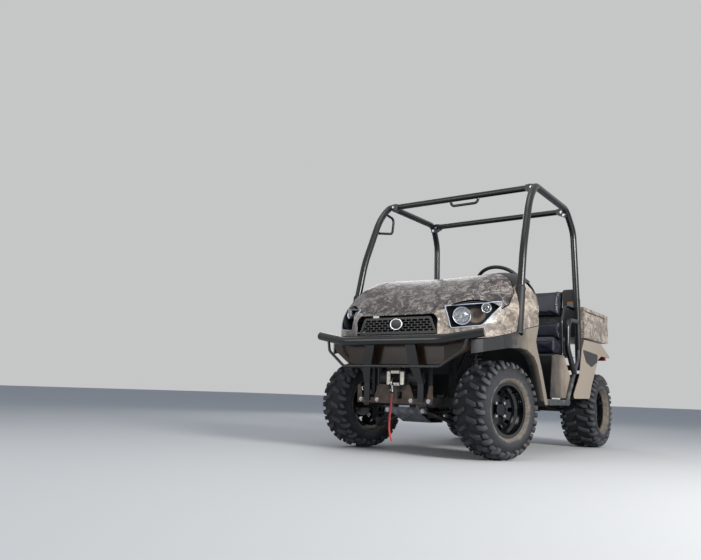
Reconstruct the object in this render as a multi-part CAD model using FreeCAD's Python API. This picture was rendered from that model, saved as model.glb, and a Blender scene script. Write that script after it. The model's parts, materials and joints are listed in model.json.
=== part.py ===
"""Side-by-side utility vehicle: bench seat, four-post roll cage, tipping bed, winch and brush guard.

Millimetres. +X is the vehicle's left, -Y is forward, +Z is up. The origin is on the ground, under the middle of
the vehicle's overall length. Outlines are given as (a, b) or (a, b, corner radius) in their own plane.
"""
import FreeCAD
import Part
import math
import os

V = FreeCAD.Vector
Z_AXIS = V(0, 0, 1)

# Overall layout. Lengthwise places are written from an axle, or from FRONT for the front of the vehicle
# and REAR for the seats and all behind them. Each of the two lies AXLE_TO_DATUM inwards of its axle, at
# the middle of this wheelbase.
WHEELBASE = 1805.0
FRONT_REACH = 483.5
REAR_REACH = 367.5
LENGTH = FRONT_REACH + WHEELBASE + REAR_REACH
FRONT_AXLE = -LENGTH / 2 + FRONT_REACH
REAR_AXLE = FRONT_AXLE + WHEELBASE
AXLE_TO_DATUM = 902.5
FRONT = FRONT_AXLE + AXLE_TO_DATUM
REAR = REAR_AXLE - AXLE_TO_DATUM
TYRE_RADIUS = 300.0
AXLE_HEIGHT = TYRE_RADIUS
FRONT_TRACK = 1060.0
REAR_TRACK = 1050.0
FRONT_TYRE_WIDTH = 240.0
REAR_TYRE_WIDTH = 284.0
RUNNING_GAP = 0.3
PANEL = 4.0
SHEET = 3.0
SWING_GAP = 6.0

# Steering. The front wheels are stored turned to the vehicle's right, about upright kingpins.
STEER_REST = math.radians(-15.0)
KINGPIN_X = 360.0
BALL_JOINT_Z = 205.0
STRUT_TUBE_RADIUS = 22.0
STEERING_ARM = 110.0

# Body side.
BODY_HALF = 650.0
FLOOR_Z = 371.0


def turned(shape, angle, x, y):
    """The shape turned about an upright line through x, y."""
    copy = shape.copy()
    copy.rotate(V(x, y, 0), Z_AXIS, math.degrees(angle))
    return copy


def mirrored(shape):
    return shape.mirror(V(0, 0, 0), V(1, 0, 0))


def both(shape):
    """A left piece and its mirror image on the right."""
    return [shape, mirrored(shape)]


def block(x, y, z):
    """A box from three (low, high) pairs."""
    return Part.makeBox(x[1] - x[0], y[1] - y[0], z[1] - z[0], V(x[0], y[0], z[0]))


def rod(start, end, radius):
    """A round bar between two points."""
    a, b = V(*start), V(*end)
    return Part.makeCylinder(radius, (b - a).Length, a, b - a)


def corner_edges(points, closed):
    """Lines joined by tangent arcs, from (point, radius) pairs."""
    count = len(points)
    entries, leaves, arcs = [], [], []
    for i, (p, r) in enumerate(points):
        inner = closed or 0 < i < count - 1
        if not inner or r <= 0:
            entries.append(p)
            leaves.append(p)
            arcs.append(None)
            continue
        to_last = (points[i - 1][0] - p).normalize()
        to_next = (points[(i + 1) % count][0] - p).normalize()
        half = to_last.getAngle(to_next) / 2
        reach = r / math.tan(half)
        bisector = (to_last + to_next).normalize()
        entries.append(p + to_last * reach)
        leaves.append(p + to_next * reach)
        arcs.append(p + bisector * (r / math.sin(half) - r))
    edges = []
    for i in range(count):
        if arcs[i] is not None:
            edges.append(Part.Arc(entries[i], arcs[i], leaves[i]).toShape())
        following = (i + 1) % count
        if (closed or i < count - 1) and (entries[following] - leaves[i]).Length > 1e-6:
            edges.append(Part.LineSegment(leaves[i], entries[following]).toShape())
    return edges


PLANES = {
    "xy": (lambda a, b, c: V(a, b, c), V(0, 0, 1)),
    "xz": (lambda a, b, c: V(a, c, b), V(0, 1, 0)),
    "yz": (lambda a, b, c: V(c, a, b), V(1, 0, 0)),
}


def slab(plane, points, span):
    """An outline in the xy, xz or yz plane, extruded over the (low, high) span of the third axis."""
    place, normal = PLANES[plane]
    corners = [(place(p[0], p[1], span[0]), p[2] if len(p) > 2 else 0.0) for p in points]
    face = Part.Face(Part.Wire(corner_edges(corners, True)))
    return face.extrude(normal * (span[1] - span[0]))


def tube(points, radius):
    """A round tube along (x, y, z, bend radius) points."""
    corners = [(V(*p[:3]), p[3] if len(p) > 3 else 0.0) for p in points]
    path = Part.Wire(corner_edges(corners, False))
    start = corners[0][0]
    ring = Part.Wire(Part.makeCircle(radius, start, corners[1][0] - start))
    return path.makePipeShell([ring], True, False)


def strip(points, thickness):
    """An outline of a bent sheet from its (a, b) line, thickened to the left of its direction."""
    near = [V(a, b, 0) for a, b in points]
    far = []
    for i, p in enumerate(near):
        before = (p - near[i - 1]).normalize() if i else (near[1] - p).normalize()
        after = (near[i + 1] - p).normalize() if i < len(near) - 1 else before
        normal_a, normal_b = V(-before.y, before.x, 0), V(-after.y, after.x, 0)
        normal = (normal_a + normal_b).normalize()
        far.append(p + normal * (thickness / normal.dot(normal_a)))
    return [(p.x, p.y) for p in near] + [(p.x, p.y) for p in reversed(far)]


def revolve_x(profile, x0=0.0):
    """A closed (x, radius) outline turned about the X axis."""
    corners = [(V(x0 + x, 0, r), 0.0) for x, r in profile]
    face = Part.Face(Part.Wire(corner_edges(corners, True)))
    return face.revolve(V(0, 0, 0), V(1, 0, 0), 360)


def fused(shapes):
    return shapes[0].multiFuse(shapes[1:]).removeSplitter()


def largest(shape):
    return max(shape.Solids, key=lambda solid: solid.Volume)


def save(name, shapes):
    """One file for a sub-part, of one or more solids."""
    solids = []
    for shape in shapes if isinstance(shapes, list) else [shapes]:
        solids.extend(shape.Solids)
    for solid in solids:
        if not solid.isValid() or solid.Volume <= 0:
            print("bad solid in", name, solid.isValid(), solid.Volume)
    whole = solids[0] if len(solids) == 1 else Part.makeCompound(solids)
    whole.exportStep(os.path.join("parts", name + ".step"))


# Wheels. Each is built about its own centre with its outer side towards +X, then placed.
RIM_RADIUS = 152.0
RIM_LIP = 168.0
RIM_HALF = 92.0
RIM_WALL = 4.0
TYRE_WALL = 8.0
HUB_CAP_RADIUS = 38.0
HUB_FACE = 6.0
STUD_CIRCLE = 55.0
STUD_COUNT = 4
WINDOW_COUNT = 8


# Tread bars: on each side of the tyre, slanted bars that run from its middle out over the shoulder. The
# outline is (across the tread as a share of the half width, round the tyre); the section is its trimmed
# side view.
LUG_DEPTH = 18.0
LUG_COUNT = 18
LUG_OUTLINE = [(0.03, 14), (0.03, -12), (0.5, -46), (1.01, -84), (1.01, -48), (0.5, -10)]
SIDEWALL_LOW = RIM_LIP + 66


def tyre(width):
    """A low-pressure tyre: beads inside the rim's lips, flat sidewalls and two rows of tread bars."""
    half = width / 2
    bead = RIM_HALF - RIM_WALL - RUNNING_GAP
    seat = RIM_RADIUS + RUNNING_GAP
    base = TYRE_RADIUS - LUG_DEPTH
    outer = [
        # width from the middle, radius
        (bead, seat), (bead, RIM_LIP + 2), (half - 6, RIM_LIP + 30), (half, SIDEWALL_LOW),
        (half - 12, base - 18),
        (half - 50, base),
    ]
    inner = [(half - 50, base - TYRE_WALL - 6), (half - 26, SIDEWALL_LOW + 6), (bead - 16, RIM_LIP + 12),
        (bead - 16, seat)]
    outside = outer + [(-x, r) for x, r in reversed(outer)]
    inside = [(-x, r) for x, r in reversed(inner)] + inner
    return revolve_x(outside + inside).multiFuse(tread_bars(half))


def tread_bars(half):
    """The tread's bars of a tyre of this half width, each sunk a little into the carcass."""
    low = TYRE_RADIUS - LUG_DEPTH - 8
    section = [
        (0, low), (0, TYRE_RADIUS), (half - 46, TYRE_RADIUS - 2), (half - 14, TYRE_RADIUS - 18),
        (half + 1, TYRE_RADIUS - 44),
        (half - 6, TYRE_RADIUS - 62), (half - 16, low - 22), (half - 60, low),
    ]
    step = 360.0 / LUG_COUNT
    bars = []
    for side, turn in ((1, 0.0), (-1, step / 2)):
        plan = [V(side * share * half, y, SIDEWALL_LOW - 16) for share, y in LUG_OUTLINE]
        bar = Part.Face(Part.makePolygon(plan + [plan[0]])).extrude(V(0, 0, TYRE_RADIUS))
        bar = bar.common(revolve_x([(side * x, r) for x, r in section]))
        for i in range(LUG_COUNT):
            copy = bar.copy()
            copy.rotate(V(0, 0, 0), V(1, 0, 0), turn + i * step)
            bars.append(copy)
    return bars


def rim():
    """A pressed steel wheel: rolled lips, a stepped barrel and a deep disc with windows round the hub."""
    wall = RIM_WALL
    barrel = revolve_x([
        (-RIM_HALF, RIM_LIP), (-RIM_HALF + wall, RIM_LIP), (-RIM_HALF + wall, RIM_RADIUS), (-40, RIM_RADIUS),
        (-26, RIM_RADIUS - 12), (30, RIM_RADIUS - 12), (44, RIM_RADIUS), (RIM_HALF - wall, RIM_RADIUS),
        (RIM_HALF - wall, RIM_LIP), (RIM_HALF, RIM_LIP), (RIM_HALF, RIM_RADIUS - wall),
        (46, RIM_RADIUS - wall),
        (32, RIM_RADIUS - 12 - wall), (-28, RIM_RADIUS - 12 - wall), (-42, RIM_RADIUS - wall),
        (-RIM_HALF, RIM_RADIUS - wall),
    ])
    inner = RIM_RADIUS - 12 - wall
    disc = revolve_x([
        (0, HUB_CAP_RADIUS + 2), (0, 84), (24, 104), (14, inner),
        (20, inner + 1), (30, 108), (5, 88), (5, HUB_CAP_RADIUS + 2),
    ])
    for i in range(WINDOW_COUNT):
        window = slab("yz", [(-13, 94, 5), (13, 94, 5), (17, 122, 6), (-17, 122, 6)], (-10, 60))
        window.rotate(V(0, 0, 0), V(1, 0, 0), i * 360.0 / WINDOW_COUNT)
        disc = disc.cut(window)
    cap = revolve_x([
        (-HUB_FACE, 20), (-HUB_FACE, HUB_CAP_RADIUS + 3), (34, HUB_CAP_RADIUS),
        (40, HUB_CAP_RADIUS - 6), (40, 0), (2, 0), (2, 20),
    ])
    nuts = []
    for i in range(STUD_COUNT):
        angle = math.radians(45 + i * 360.0 / STUD_COUNT)
        y, z = STUD_CIRCLE * math.sin(angle), STUD_CIRCLE * math.cos(angle)
        nuts.append(rod((2, y, z), (24, y, z), 9.0))
    return fused([barrel, disc, cap] + nuts)


def placed_wheel(shape, side, y, half_track, steer):
    """Turns a wheel's outer side out, moves it to its hub and turns it about its kingpin."""
    copy = shape.copy() if side > 0 else mirrored(shape)
    copy.translate(V(side * half_track, y, AXLE_HEIGHT))
    if steer:
        copy = turned(copy, STEER_REST, side * KINGPIN_X, y)
    return copy


def build_wheels():
    wheel = rim()
    front, rear = tyre(FRONT_TYRE_WIDTH), tyre(REAR_TYRE_WIDTH)
    corners = [
        # name, tyre, side, axle, half track, steered
        ("front_left", front, 1, FRONT_AXLE, FRONT_TRACK / 2, True),
        ("front_right", front, -1, FRONT_AXLE, FRONT_TRACK / 2, True),
        ("rear_left", rear, 1, REAR_AXLE, REAR_TRACK / 2, False),
        ("rear_right", rear, -1, REAR_AXLE, REAR_TRACK / 2, False),
    ]
    for name, rubber, side, y, half_track, steered in corners:
        save("tyre_" + name, placed_wheel(rubber, side, y, half_track, steered))
        save("rim_" + name, placed_wheel(wheel, side, y, half_track, steered))


# Frame: two long rails and the cross tubes between them, stepped up over the rear axle.
RAIL_X = 205.0
RAIL_WIDTH = 40.0
RAIL_OUT = RAIL_X + RAIL_WIDTH / 2
RAIL_IN = RAIL_X - RAIL_WIDTH / 2
RAIL_LOW = 300.0
RAIL_HIGH = 360.0
MOUNT_Y = -1299.0
MOUNT_PLATE = 8.0
RAIL_REAR = 1180.0
KICK_START = 560.0
KICK_END = 700.0
KICK_RISE = 170.0
DECK_Z = RAIL_HIGH + KICK_RISE
CROSS_TUBES = [
    # datum, y from it, z of centre
    (FRONT, -1150, 330), (FRONT, -830, 330), (FRONT, -380, 330), (REAR, 60, 330), (REAR, 480, 330),
    (REAR, 1140, 500),
]
CROSS_HALF = 20.0
FRONT_CROSS_LOW = 330 - CROSS_HALF


def build_frame():
    side = slab("yz", [
        (FRONT + MOUNT_Y + MOUNT_PLATE, RAIL_LOW), (REAR + KICK_START, RAIL_LOW),
        (REAR + KICK_END, RAIL_LOW + KICK_RISE),
        (REAR + RAIL_REAR, RAIL_LOW + KICK_RISE), (REAR + RAIL_REAR, DECK_Z),
        (REAR + KICK_END - 15, DECK_Z), (REAR + KICK_START - 15, RAIL_HIGH),
        (FRONT + MOUNT_Y + MOUNT_PLATE, RAIL_HIGH),
    ], (RAIL_IN, RAIL_OUT))
    save("frame_rails", both(side))
    tubes = [
        block((-RAIL_IN, RAIL_IN), (datum + y - CROSS_HALF, datum + y + CROSS_HALF),
        (z - CROSS_HALF, z + CROSS_HALF))
        for datum, y, z in CROSS_TUBES
    ]
    save("frame_cross_tubes", tubes)


# Body mounts: the strut beam under the hood and the two cross beams under the seat, each on posts from
# the rails.
STRUT_BEAM_LOW = 745.0
STRUT_BEAM_HIGH = 775.0
STRUT_BEAM = (-925.0, -855.0)
SEAT_BEAM = (62.0, 92.0)
SEAT_BEAM_LOW = 650.0
SEAT_BEAM_HIGH = 690.0
POST_BEAM = (385.0, 430.0)
POST_BEAM_LOW = 600.0
POST_BEAM_HIGH = 640.0
SEAT_TOP = 706.0
FENDER_SKIN = 650.0
LOWER_SKIN = 654.0
SIDE_PANEL_X = 604.0


def build_body_mounts():
    def leg(datum, span, low, high):
        return block((RAIL_IN, RAIL_OUT), (datum + span[0], datum + span[1]), (low, high))

    def beam(half, datum, span, low, high):
        return block((-half, half), (datum + span[0], datum + span[1]), (low, high))

    strut_legs = (-AXLE_TO_DATUM - 20, -AXLE_TO_DATUM + 20)
    strut = beam(LOWER_SKIN - PANEL - 1 - RUNNING_GAP, FRONT, STRUT_BEAM, STRUT_BEAM_LOW, STRUT_BEAM_HIGH)
    strut = fused([strut] + both(leg(FRONT, strut_legs, RAIL_HIGH, STRUT_BEAM_LOW)))
    front = beam(SIDE_PANEL_X - RUNNING_GAP, REAR, SEAT_BEAM, SEAT_BEAM_LOW, SEAT_BEAM_HIGH)
    front_legs = both(leg(REAR, SEAT_BEAM, RAIL_HIGH, SEAT_TOP - PANEL - RUNNING_GAP))
    rear = beam(FENDER_SKIN - PANEL - RUNNING_GAP, REAR, POST_BEAM, POST_BEAM_LOW, POST_BEAM_HIGH)
    rear_legs = both(leg(REAR, POST_BEAM, RAIL_HIGH, SEAT_TOP - PANEL - RUNNING_GAP))
    save("body_mounts", [strut, fused([front] + front_legs),
        fused([rear] + rear_legs)] + seat_back_bars() + bed_posts())


# Floor: pan, toe board and firewall in one bent sheet, the step rails at its sides.
PAN_HALF = 600.0
PAN_REAR = -25.0
STEP_OUT = 640.0
STEP_LOW = 332.0
CREST_HALF = 300.0
RISER_RADIUS = 14.0
RISER = [
    # x, y, z, bend radius
    (620, 40, 352, 0), (622, 104, 356, 50), (629, 246, 552, 260), (629, 372, 692, 140), (621, 402, 770, 0),
]
HINGE_Y = -585.0
HINGE_Z = 1130.0


def build_floor():
    line = [
        (REAR + PAN_REAR, FLOOR_Z + PANEL), (FRONT - 440, FLOOR_Z + PANEL), (FRONT - 520, 525),
        (FRONT - 552, 700),
        (FRONT - 560, 1060),
    ]
    pan = slab("yz", strip(line, PANEL), (-PAN_HALF, PAN_HALF))
    crest = block((-CREST_HALF, CREST_HALF), (FRONT - 560 - PANEL, FRONT - 560), (1060, HINGE_Z + 16))
    save("floor_pan", fused([pan, crest] + hood_hinges()))
    step = slab("xz", [
        (PAN_HALF - 24, STEP_LOW), (STEP_OUT - 8, STEP_LOW, 6), (STEP_OUT, STEP_LOW + 14, 6),
        (STEP_OUT, FLOOR_Z + 2, 8),
        (PAN_HALF + RUNNING_GAP, FLOOR_Z + 2), (PAN_HALF + RUNNING_GAP, FLOOR_Z - RUNNING_GAP),
        (PAN_HALF - 24, FLOOR_Z - RUNNING_GAP),
    ], (FRONT - 392, REAR + 120))
    outriggers = [
        block((RAIL_OUT, PAN_HALF - 23), (y - 15, y + 15), (STEP_LOW, FLOOR_Z - RUNNING_GAP))
        for y in (FRONT - 330, REAR)
    ]
    riser = tube([(x, REAR + y, z, r) for x, y, z, r in RISER],
        RISER_RADIUS).cut(hoop(CAGE_RADIUS + RUNNING_GAP))
    save("step_rails", both(fused([step, largest(riser)] + outriggers)))


# Front bodywork: a hollow shell lofted along Y through these sections, then split into hood and fenders.
NOSE_SECTIONS = [
    # y, z bottom, side x, side top z, shoulder (x, z), ridge (x, z), crown z
    (-1292, 742, 296, 800, 290, 846, 252, 868, 866),
    (-1235, 735, 392, 800, 372, 870, 272, 912, 908),
    (-1130, 722, 536, 810, 486, 920, 300, 992, 986),
    (-950, 745, 636, 870, 578, 1012, 345, 1098, 1088),
    (-760, 800, 650, 915, 606, 1085, 380, 1178, 1166),
    (-540, 840, 655, 925, 622, 1115, 400, 1222, 1210),
]
SHELL = 4.0
NOSE_STRETCH = 40.0


def nose_ring(section, inset, drop):
    """A closed section of the front bodywork, inset by a wall and let down at the bottom."""
    y, bottom, side, side_top, shoulder_x, shoulder_z, ridge_x, ridge_z, crown = section
    y += FRONT
    slant = inset * 0.72
    left = [
        V(side - inset, y, bottom - drop), V(side - inset, y, side_top),
        V(shoulder_x - slant, y, shoulder_z - slant),
        V(ridge_x - inset * 0.3, y, ridge_z - inset),
    ]
    right = [V(-p.x, p.y, p.z) for p in left]
    top = V(0, y, crown - inset)
    edges = [
        Part.LineSegment(left[0], left[1]).toShape(),
        Part.Arc(left[1], left[2], left[3]).toShape(),
        Part.Arc(left[3], top, right[3]).toShape(),
        Part.Arc(right[3], right[2], right[1]).toShape(),
        Part.LineSegment(right[1], right[0]).toShape(),
        Part.LineSegment(right[0], left[0]).toShape(),
    ]
    return Part.Wire(edges)


def nose_solid(inset, drop, through=False):
    """The lofted body, or its hollow, which goes through both ends."""
    first = (NOSE_SECTIONS[0][0] - NOSE_STRETCH,) + NOSE_SECTIONS[0][1:]
    last = (NOSE_SECTIONS[-1][0] + NOSE_STRETCH,) + NOSE_SECTIONS[-1][1:]
    whole = Part.makeLoft([nose_ring(s, inset, drop) for s in [first] + NOSE_SECTIONS + [last]], True, False)
    if through:
        return whole
    return whole.common(block((-900, 900), (FRONT + NOSE_SECTIONS[0][0], FRONT + NOSE_SECTIONS[-1][0]),
        (0, 2000)))


# Plan outlines, left side, as (x, y). The cowl line is where bodywork meets the dashboard.
COWL_LINE = [(0, -655), (300, -672), (450, -728), (560, -800), (610, -868)]
LAMP_LINE = [(610, -960), (590, -1015), (430, -1130), (316, -1238), (262, -1262)]
NOSE_FRONT = -1330


def hood_region(gap):
    """The hood's outline seen from above, grown by a gap, as an upright prism."""
    cowl = [(x + gap * 0.4, y + gap) for x, y in COWL_LINE]
    lamp = [(x + gap, y - gap * 0.3) for x, y in LAMP_LINE]
    left = cowl + lamp + [(262 + gap, NOSE_FRONT)]
    right = [(-x, y) for x, y in reversed(left)]
    points = [(x, FRONT + y) for x, y in left[1:] + right[:-1] + [(0, cowl[0][1])]]
    return slab("xy", points, (650, 1400))


WING_X = 592.0


def behind_cowl(gap):
    """What lies behind the cowl line, between the fenders' rear wings, less a gap at the wings."""
    wing = WING_X - gap
    left = [(wing, -500), (wing, -845)] + [(x, y) for x, y in reversed(COWL_LINE) if x < wing]
    right = [(-x, y) for x, y in reversed(left) if x > 0]
    points = [(x, FRONT + y) for x, y in left + right]
    return slab("xy", points, (600, 1400))


# Headlamp opening, seen along its own axis, which looks forward and outward.
LAMP_YAW = 33.0
LAMP_CENTRE = (440.0, -1120.0, 868.0)
LAMP_OUTLINE = [(-168, 44, 8), (-134, -90, 14), (50, -68, 40), (176, 60, 16), (186, 86, 8), (-9, 82, 60)]
MAIN_LAMP = (-62.0, -8.0, 52.0)
SMALL_LAMP = (88.0, 44.0, 27.0)


def lamp_frame(shape):
    """Places a lamp piece, built about the origin and looking along -Y, on the left side of the nose."""
    copy = shape.copy()
    copy.rotate(V(0, 0, 0), Z_AXIS, LAMP_YAW)
    copy.translate(V(LAMP_CENTRE[0], FRONT + LAMP_CENTRE[1], LAMP_CENTRE[2]))
    return copy


def grown(points, amount):
    """An outline with each corner moved away from the middle."""
    cx = sum(p[0] for p in points) / len(points)
    cz = sum(p[1] for p in points) / len(points)
    moved = []
    for p in points:
        reach = math.hypot(p[0] - cx, p[1] - cz)
        scale = (reach + amount) / reach
        moved.append((cx + (p[0] - cx) * scale, cz + (p[1] - cz) * scale) + tuple(p[2:]))
    return moved


# Seam between the painted fender and the black lower fender, side view.
SEAM = [(-1400, 700), (-1290, 702), (-1116, 727), (-863, 793), (-554, 855), (-480, 870)]
SEAM_GAP = 0.6
FENDER_REAR = [(-640, 1125), (-590, 1050), (-560, 960), (-552, 870), (-552, 700)]


def hoop(radius):
    """The left side hoop of the roll cage, or the room for it, written from FRONT and then REAR."""
    return tube([(x, (FRONT if y < 0 else REAR) + y, z, r) for x, y, z, r in CAGE_HOOP], radius)


def post_clearance():
    """Room for the roll cage's front posts where they pass down through the bodywork."""
    return both(hoop(CAGE_RADIUS + 2))


def build_front_body():
    shell = nose_solid(0, 60).cut(nose_solid(SHELL, 200, True))
    above_seam = slab("yz", [(FRONT + y, z) for y, z in SEAM] + [(FRONT - 480, 1500), (FRONT - 1400, 1500)],
        (-800, 800))
    shell = shell.common(above_seam)
    hood = largest(shell.common(hood_region(0)))
    goose = slab("yz", [
        (FRONT + HINGE_Y + 12, HINGE_Z - 6, 6), (FRONT + HINGE_Y + 12, HINGE_Z + 12, 8),
        (FRONT + HINGE_Y - 14, HINGE_Z + 12, 8),
        (FRONT + HINGE_Y - 60, HINGE_Z - 34, 20), (FRONT + HINGE_Y - 118, HINGE_Z - 36, 12),
        (FRONT + HINGE_Y - 104, 1210), (FRONT + HINGE_Y - 133, 1210),
        (FRONT + HINGE_Y - 142, HINGE_Z - 56, 30),
        (FRONT + HINGE_Y - 60, HINGE_Z - 60, 30),
    ], (HINGE_X - 4, HINGE_X + 4)).common(nose_solid(SHELL / 2, 60))
    goose = goose.cut(rod((0, FRONT + HINGE_Y, HINGE_Z), (500, FRONT + HINGE_Y, HINGE_Z),
        HINGE_PIN + RUNNING_GAP))
    save("hood", fused([hood] + both(goose)))
    behind = behind_cowl(0)
    fenders = shell.cut(hood_region(SWING_GAP)).cut(behind)
    rear_trim = slab("yz", [(FRONT + y, z) for y, z in FENDER_REAR] + [(FRONT - 300, 700),
        (FRONT - 300, 1500), (FRONT - 640, 1500)], (-800, 800))
    opening = lamp_frame(slab("xz", LAMP_OUTLINE, (-260, 260)))
    fenders = fenders.cut(rear_trim).cut(opening).common(block((20, 900), (-2000, 2000), (0, 2000)))
    fenders = fenders.cut(post_clearance()[0])
    save("front_fenders", both(largest(fenders)))
    cowl = shell.common(behind_cowl(RUNNING_GAP)).cut(hood_region(SWING_GAP))
    cowl = largest(cowl.cut(block((-900, 900), (FRONT - 540, 2000), (0, 2000))))
    save("dashboard", [largest(cowl.cut(Part.makeCompound(post_clearance()))), dashboard()])
    build_headlamps()
    build_grille()


# Hood hinge: a swan-necked arm on each side turns on a pin in front of the firewall.
HINGE_X = 250.0
HINGE_PIN = 5.0


def hood_hinges():
    ears = []
    for low, high in ((HINGE_X - 12, HINGE_X - 6), (HINGE_X + 6, HINGE_X + 12)):
        ears.append(slab("yz", [
            (FRONT - 560 - PANEL, HINGE_Z - 30), (FRONT - 560 - PANEL, HINGE_Z + 14),
            (FRONT + HINGE_Y - 8, HINGE_Z + 14, 10),
            (FRONT + HINGE_Y - 14, HINGE_Z - 12, 8),
        ], (low, high)))
    pin = rod((HINGE_X - 12, FRONT + HINGE_Y, HINGE_Z), (HINGE_X + 12, FRONT + HINGE_Y, HINGE_Z), HINGE_PIN)
    return both(fused(ears + [pin]))


# Dashboard: a hollow moulding that fits inside the cowl and closes it towards the seats.
DASH_SECTIONS = [
    # y, z bottom, side x, side top z, shoulder (x, z), ridge (x, z), crown z
    (-557.5, 985, 648, 925, 615, 1112, 396, 1219, 1207),
    (-500, 990, 640, 920, 606, 1098, 390, 1205, 1196),
    (-452, 1010, 610, 935, 576, 1070, 370, 1168, 1160),
]


def dash_ring(section, inset):
    y, bottom, side, side_top, shoulder_x, shoulder_z, ridge_x, ridge_z, crown = section
    side, shoulder_x, ridge_x = side - inset, shoulder_x - inset * 0.72, ridge_x - inset * 0.3
    shoulder_z, ridge_z, crown = shoulder_z - inset * 0.72, ridge_z - inset, crown - inset
    low = bottom + (inset if inset > SHELL + 1 else 0)
    y += FRONT
    left = [V(side - 30, y, low), V(side - 4, y, 1012), V(shoulder_x, y, shoulder_z), V(ridge_x, y, ridge_z)]
    right = [V(-p.x, p.y, p.z) for p in left]
    edges = [
        Part.LineSegment(left[0], left[1]).toShape(),
        Part.Arc(left[1], left[2], left[3]).toShape(),
        Part.Arc(left[3], V(0, y, crown), right[3]).toShape(),
        Part.Arc(right[3], right[2], right[1]).toShape(),
        Part.LineSegment(right[1], right[0]).toShape(),
        Part.LineSegment(right[0], left[0]).toShape(),
    ]
    return Part.Wire(edges)


COLUMN_RADIUS = 24.0
PINION_X = 60.0
PINION_Y = -790.0
PINION_TOP = 320.0
STEER_X = 277.0
WHEEL_CENTRE = (-299.0, 1164.0)
COLUMN_TILT = math.radians(40.0)
STEERING_WHEEL_RADIUS = 176.0
STEERING_RIM = 13.0


def column_point(distance):
    """A point on the steering column's axis, measured forward and down from the steering wheel's centre."""
    y, z = WHEEL_CENTRE
    return (STEER_X, FRONT + y - distance * math.cos(COLUMN_TILT), z - distance * math.sin(COLUMN_TILT))


def dash_solid(inset, low, high):
    """The dashboard's loft, run on past both ends and then cut off at y low and high."""
    first = (DASH_SECTIONS[0][0] - NOSE_STRETCH,) + DASH_SECTIONS[0][1:]
    last = (DASH_SECTIONS[-1][0] + NOSE_STRETCH,) + DASH_SECTIONS[-1][1:]
    whole = Part.makeLoft([dash_ring(s, inset) for s in [first] + DASH_SECTIONS + [last]], True, False)
    return whole.common(block((-900, 900), (FRONT + low, FRONT + high), (0, 2000)))


def dashboard():
    inset = SHELL + 0.8
    front, back = DASH_SECTIONS[0][0], DASH_SECTIONS[-1][0]
    shell = dash_solid(inset, front, back).cut(dash_solid(inset + PANEL, front - 20, back - PANEL))
    shell = shell.cut(rod(column_point(0), column_point(400), COLUMN_RADIUS + RUNNING_GAP))
    return largest(shell)


def build_steering_column():
    housing_top, housing_end = column_point(40), column_point(325)
    column = rod(housing_top, housing_end, COLUMN_RADIUS)
    column = column.cut(slab("yz", [(FRONT - 900, 600), (FRONT - 551.6, 700), (FRONT - 559.6, 1060),
        (FRONT - 559.6, 1400), (FRONT - 900, 1400)], (0, 600)))
    shaft_y = -570.5
    shaft_z = WHEEL_CENTRE[1] - (WHEEL_CENTRE[0] - shaft_y) * math.tan(COLUMN_TILT) - 3
    shaft = rod((STEER_X, FRONT + shaft_y, shaft_z), (PINION_X, FRONT + PINION_Y, PINION_TOP - 8), 9.0)
    shaft = shaft.cut(block((0, 200), (FRONT - 900, FRONT - 700), (200, PINION_TOP + RUNNING_GAP)))
    save("steering_column", [largest(column), shaft, steering_rack()])


def build_steering_wheel():
    ring = Part.makeTorus(STEERING_WHEEL_RADIUS, STEERING_RIM, V(0, 0, 0), V(0, 0, 1))
    hub = Part.makeCylinder(34, 26, V(0, 0, -30), V(0, 0, 1))
    boss = Part.makeCylinder(20, 12, V(0, 0, -40 + RUNNING_GAP), V(0, 0, 1))
    spokes = []
    for angle in (0, 90, 180):
        spoke = slab("xy", [(20, -16), (STEERING_WHEEL_RADIUS - 4, -11), (STEERING_WHEEL_RADIUS - 4, 11),
            (20, 16)], (-16, -8))
        spoke.rotate(V(0, 0, 0), Z_AXIS, angle)
        spokes.append(spoke)
    wheel = fused([ring, hub, boss] + spokes)
    wheel.rotate(V(0, 0, 0), V(1, 0, 0), -(90 - math.degrees(COLUMN_TILT)))
    x, y, z = column_point(0)
    wheel.translate(V(x, y, z))
    save("steering_wheel", wheel)


def build_pedals():
    """Brake and accelerator, hung on arms from the firewall on the driver's side."""
    pedals = []
    for x, width, drop in ((230, 34, 0), (345, 24, -12)):
        arm = slab("yz", strip([(FRONT - 553.8, 790), (FRONT - 500, 760), (FRONT - 470, 620 + drop)], 8),
            (x - 5, x + 5))
        pad = slab("yz", strip([(FRONT - 486, 640 + drop), (FRONT - 452, 560 + drop)], 8),
            (x - width, x + width))
        pedals.append(fused([arm, pad]))
    save("controls", pedals + levers())


def levers():
    """The gear lever on the dashboard's face and the parking brake lever beside the seat."""
    gear = fused([
        rod((120, FRONT - 460, 1076), (120, FRONT - 380, 1110), 6),
        Part.makeSphere(17, V(120, FRONT - 372, 1114)),
    ])
    gear = gear.cut(block((0, 300), (FRONT - 500, FRONT - 451.7), (900, 1200)))
    brake = fused([rod((40, REAR - 59, 360), (40, REAR - 92, 610), 7),
        rod((40, REAR - 90, 590), (40, REAR - 100, 690), 13)])
    brake = brake.cut(block((0, 100), (REAR - 200, REAR), (300, FLOOR_Z + PANEL + RUNNING_GAP)))
    return [gear, brake]


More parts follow.
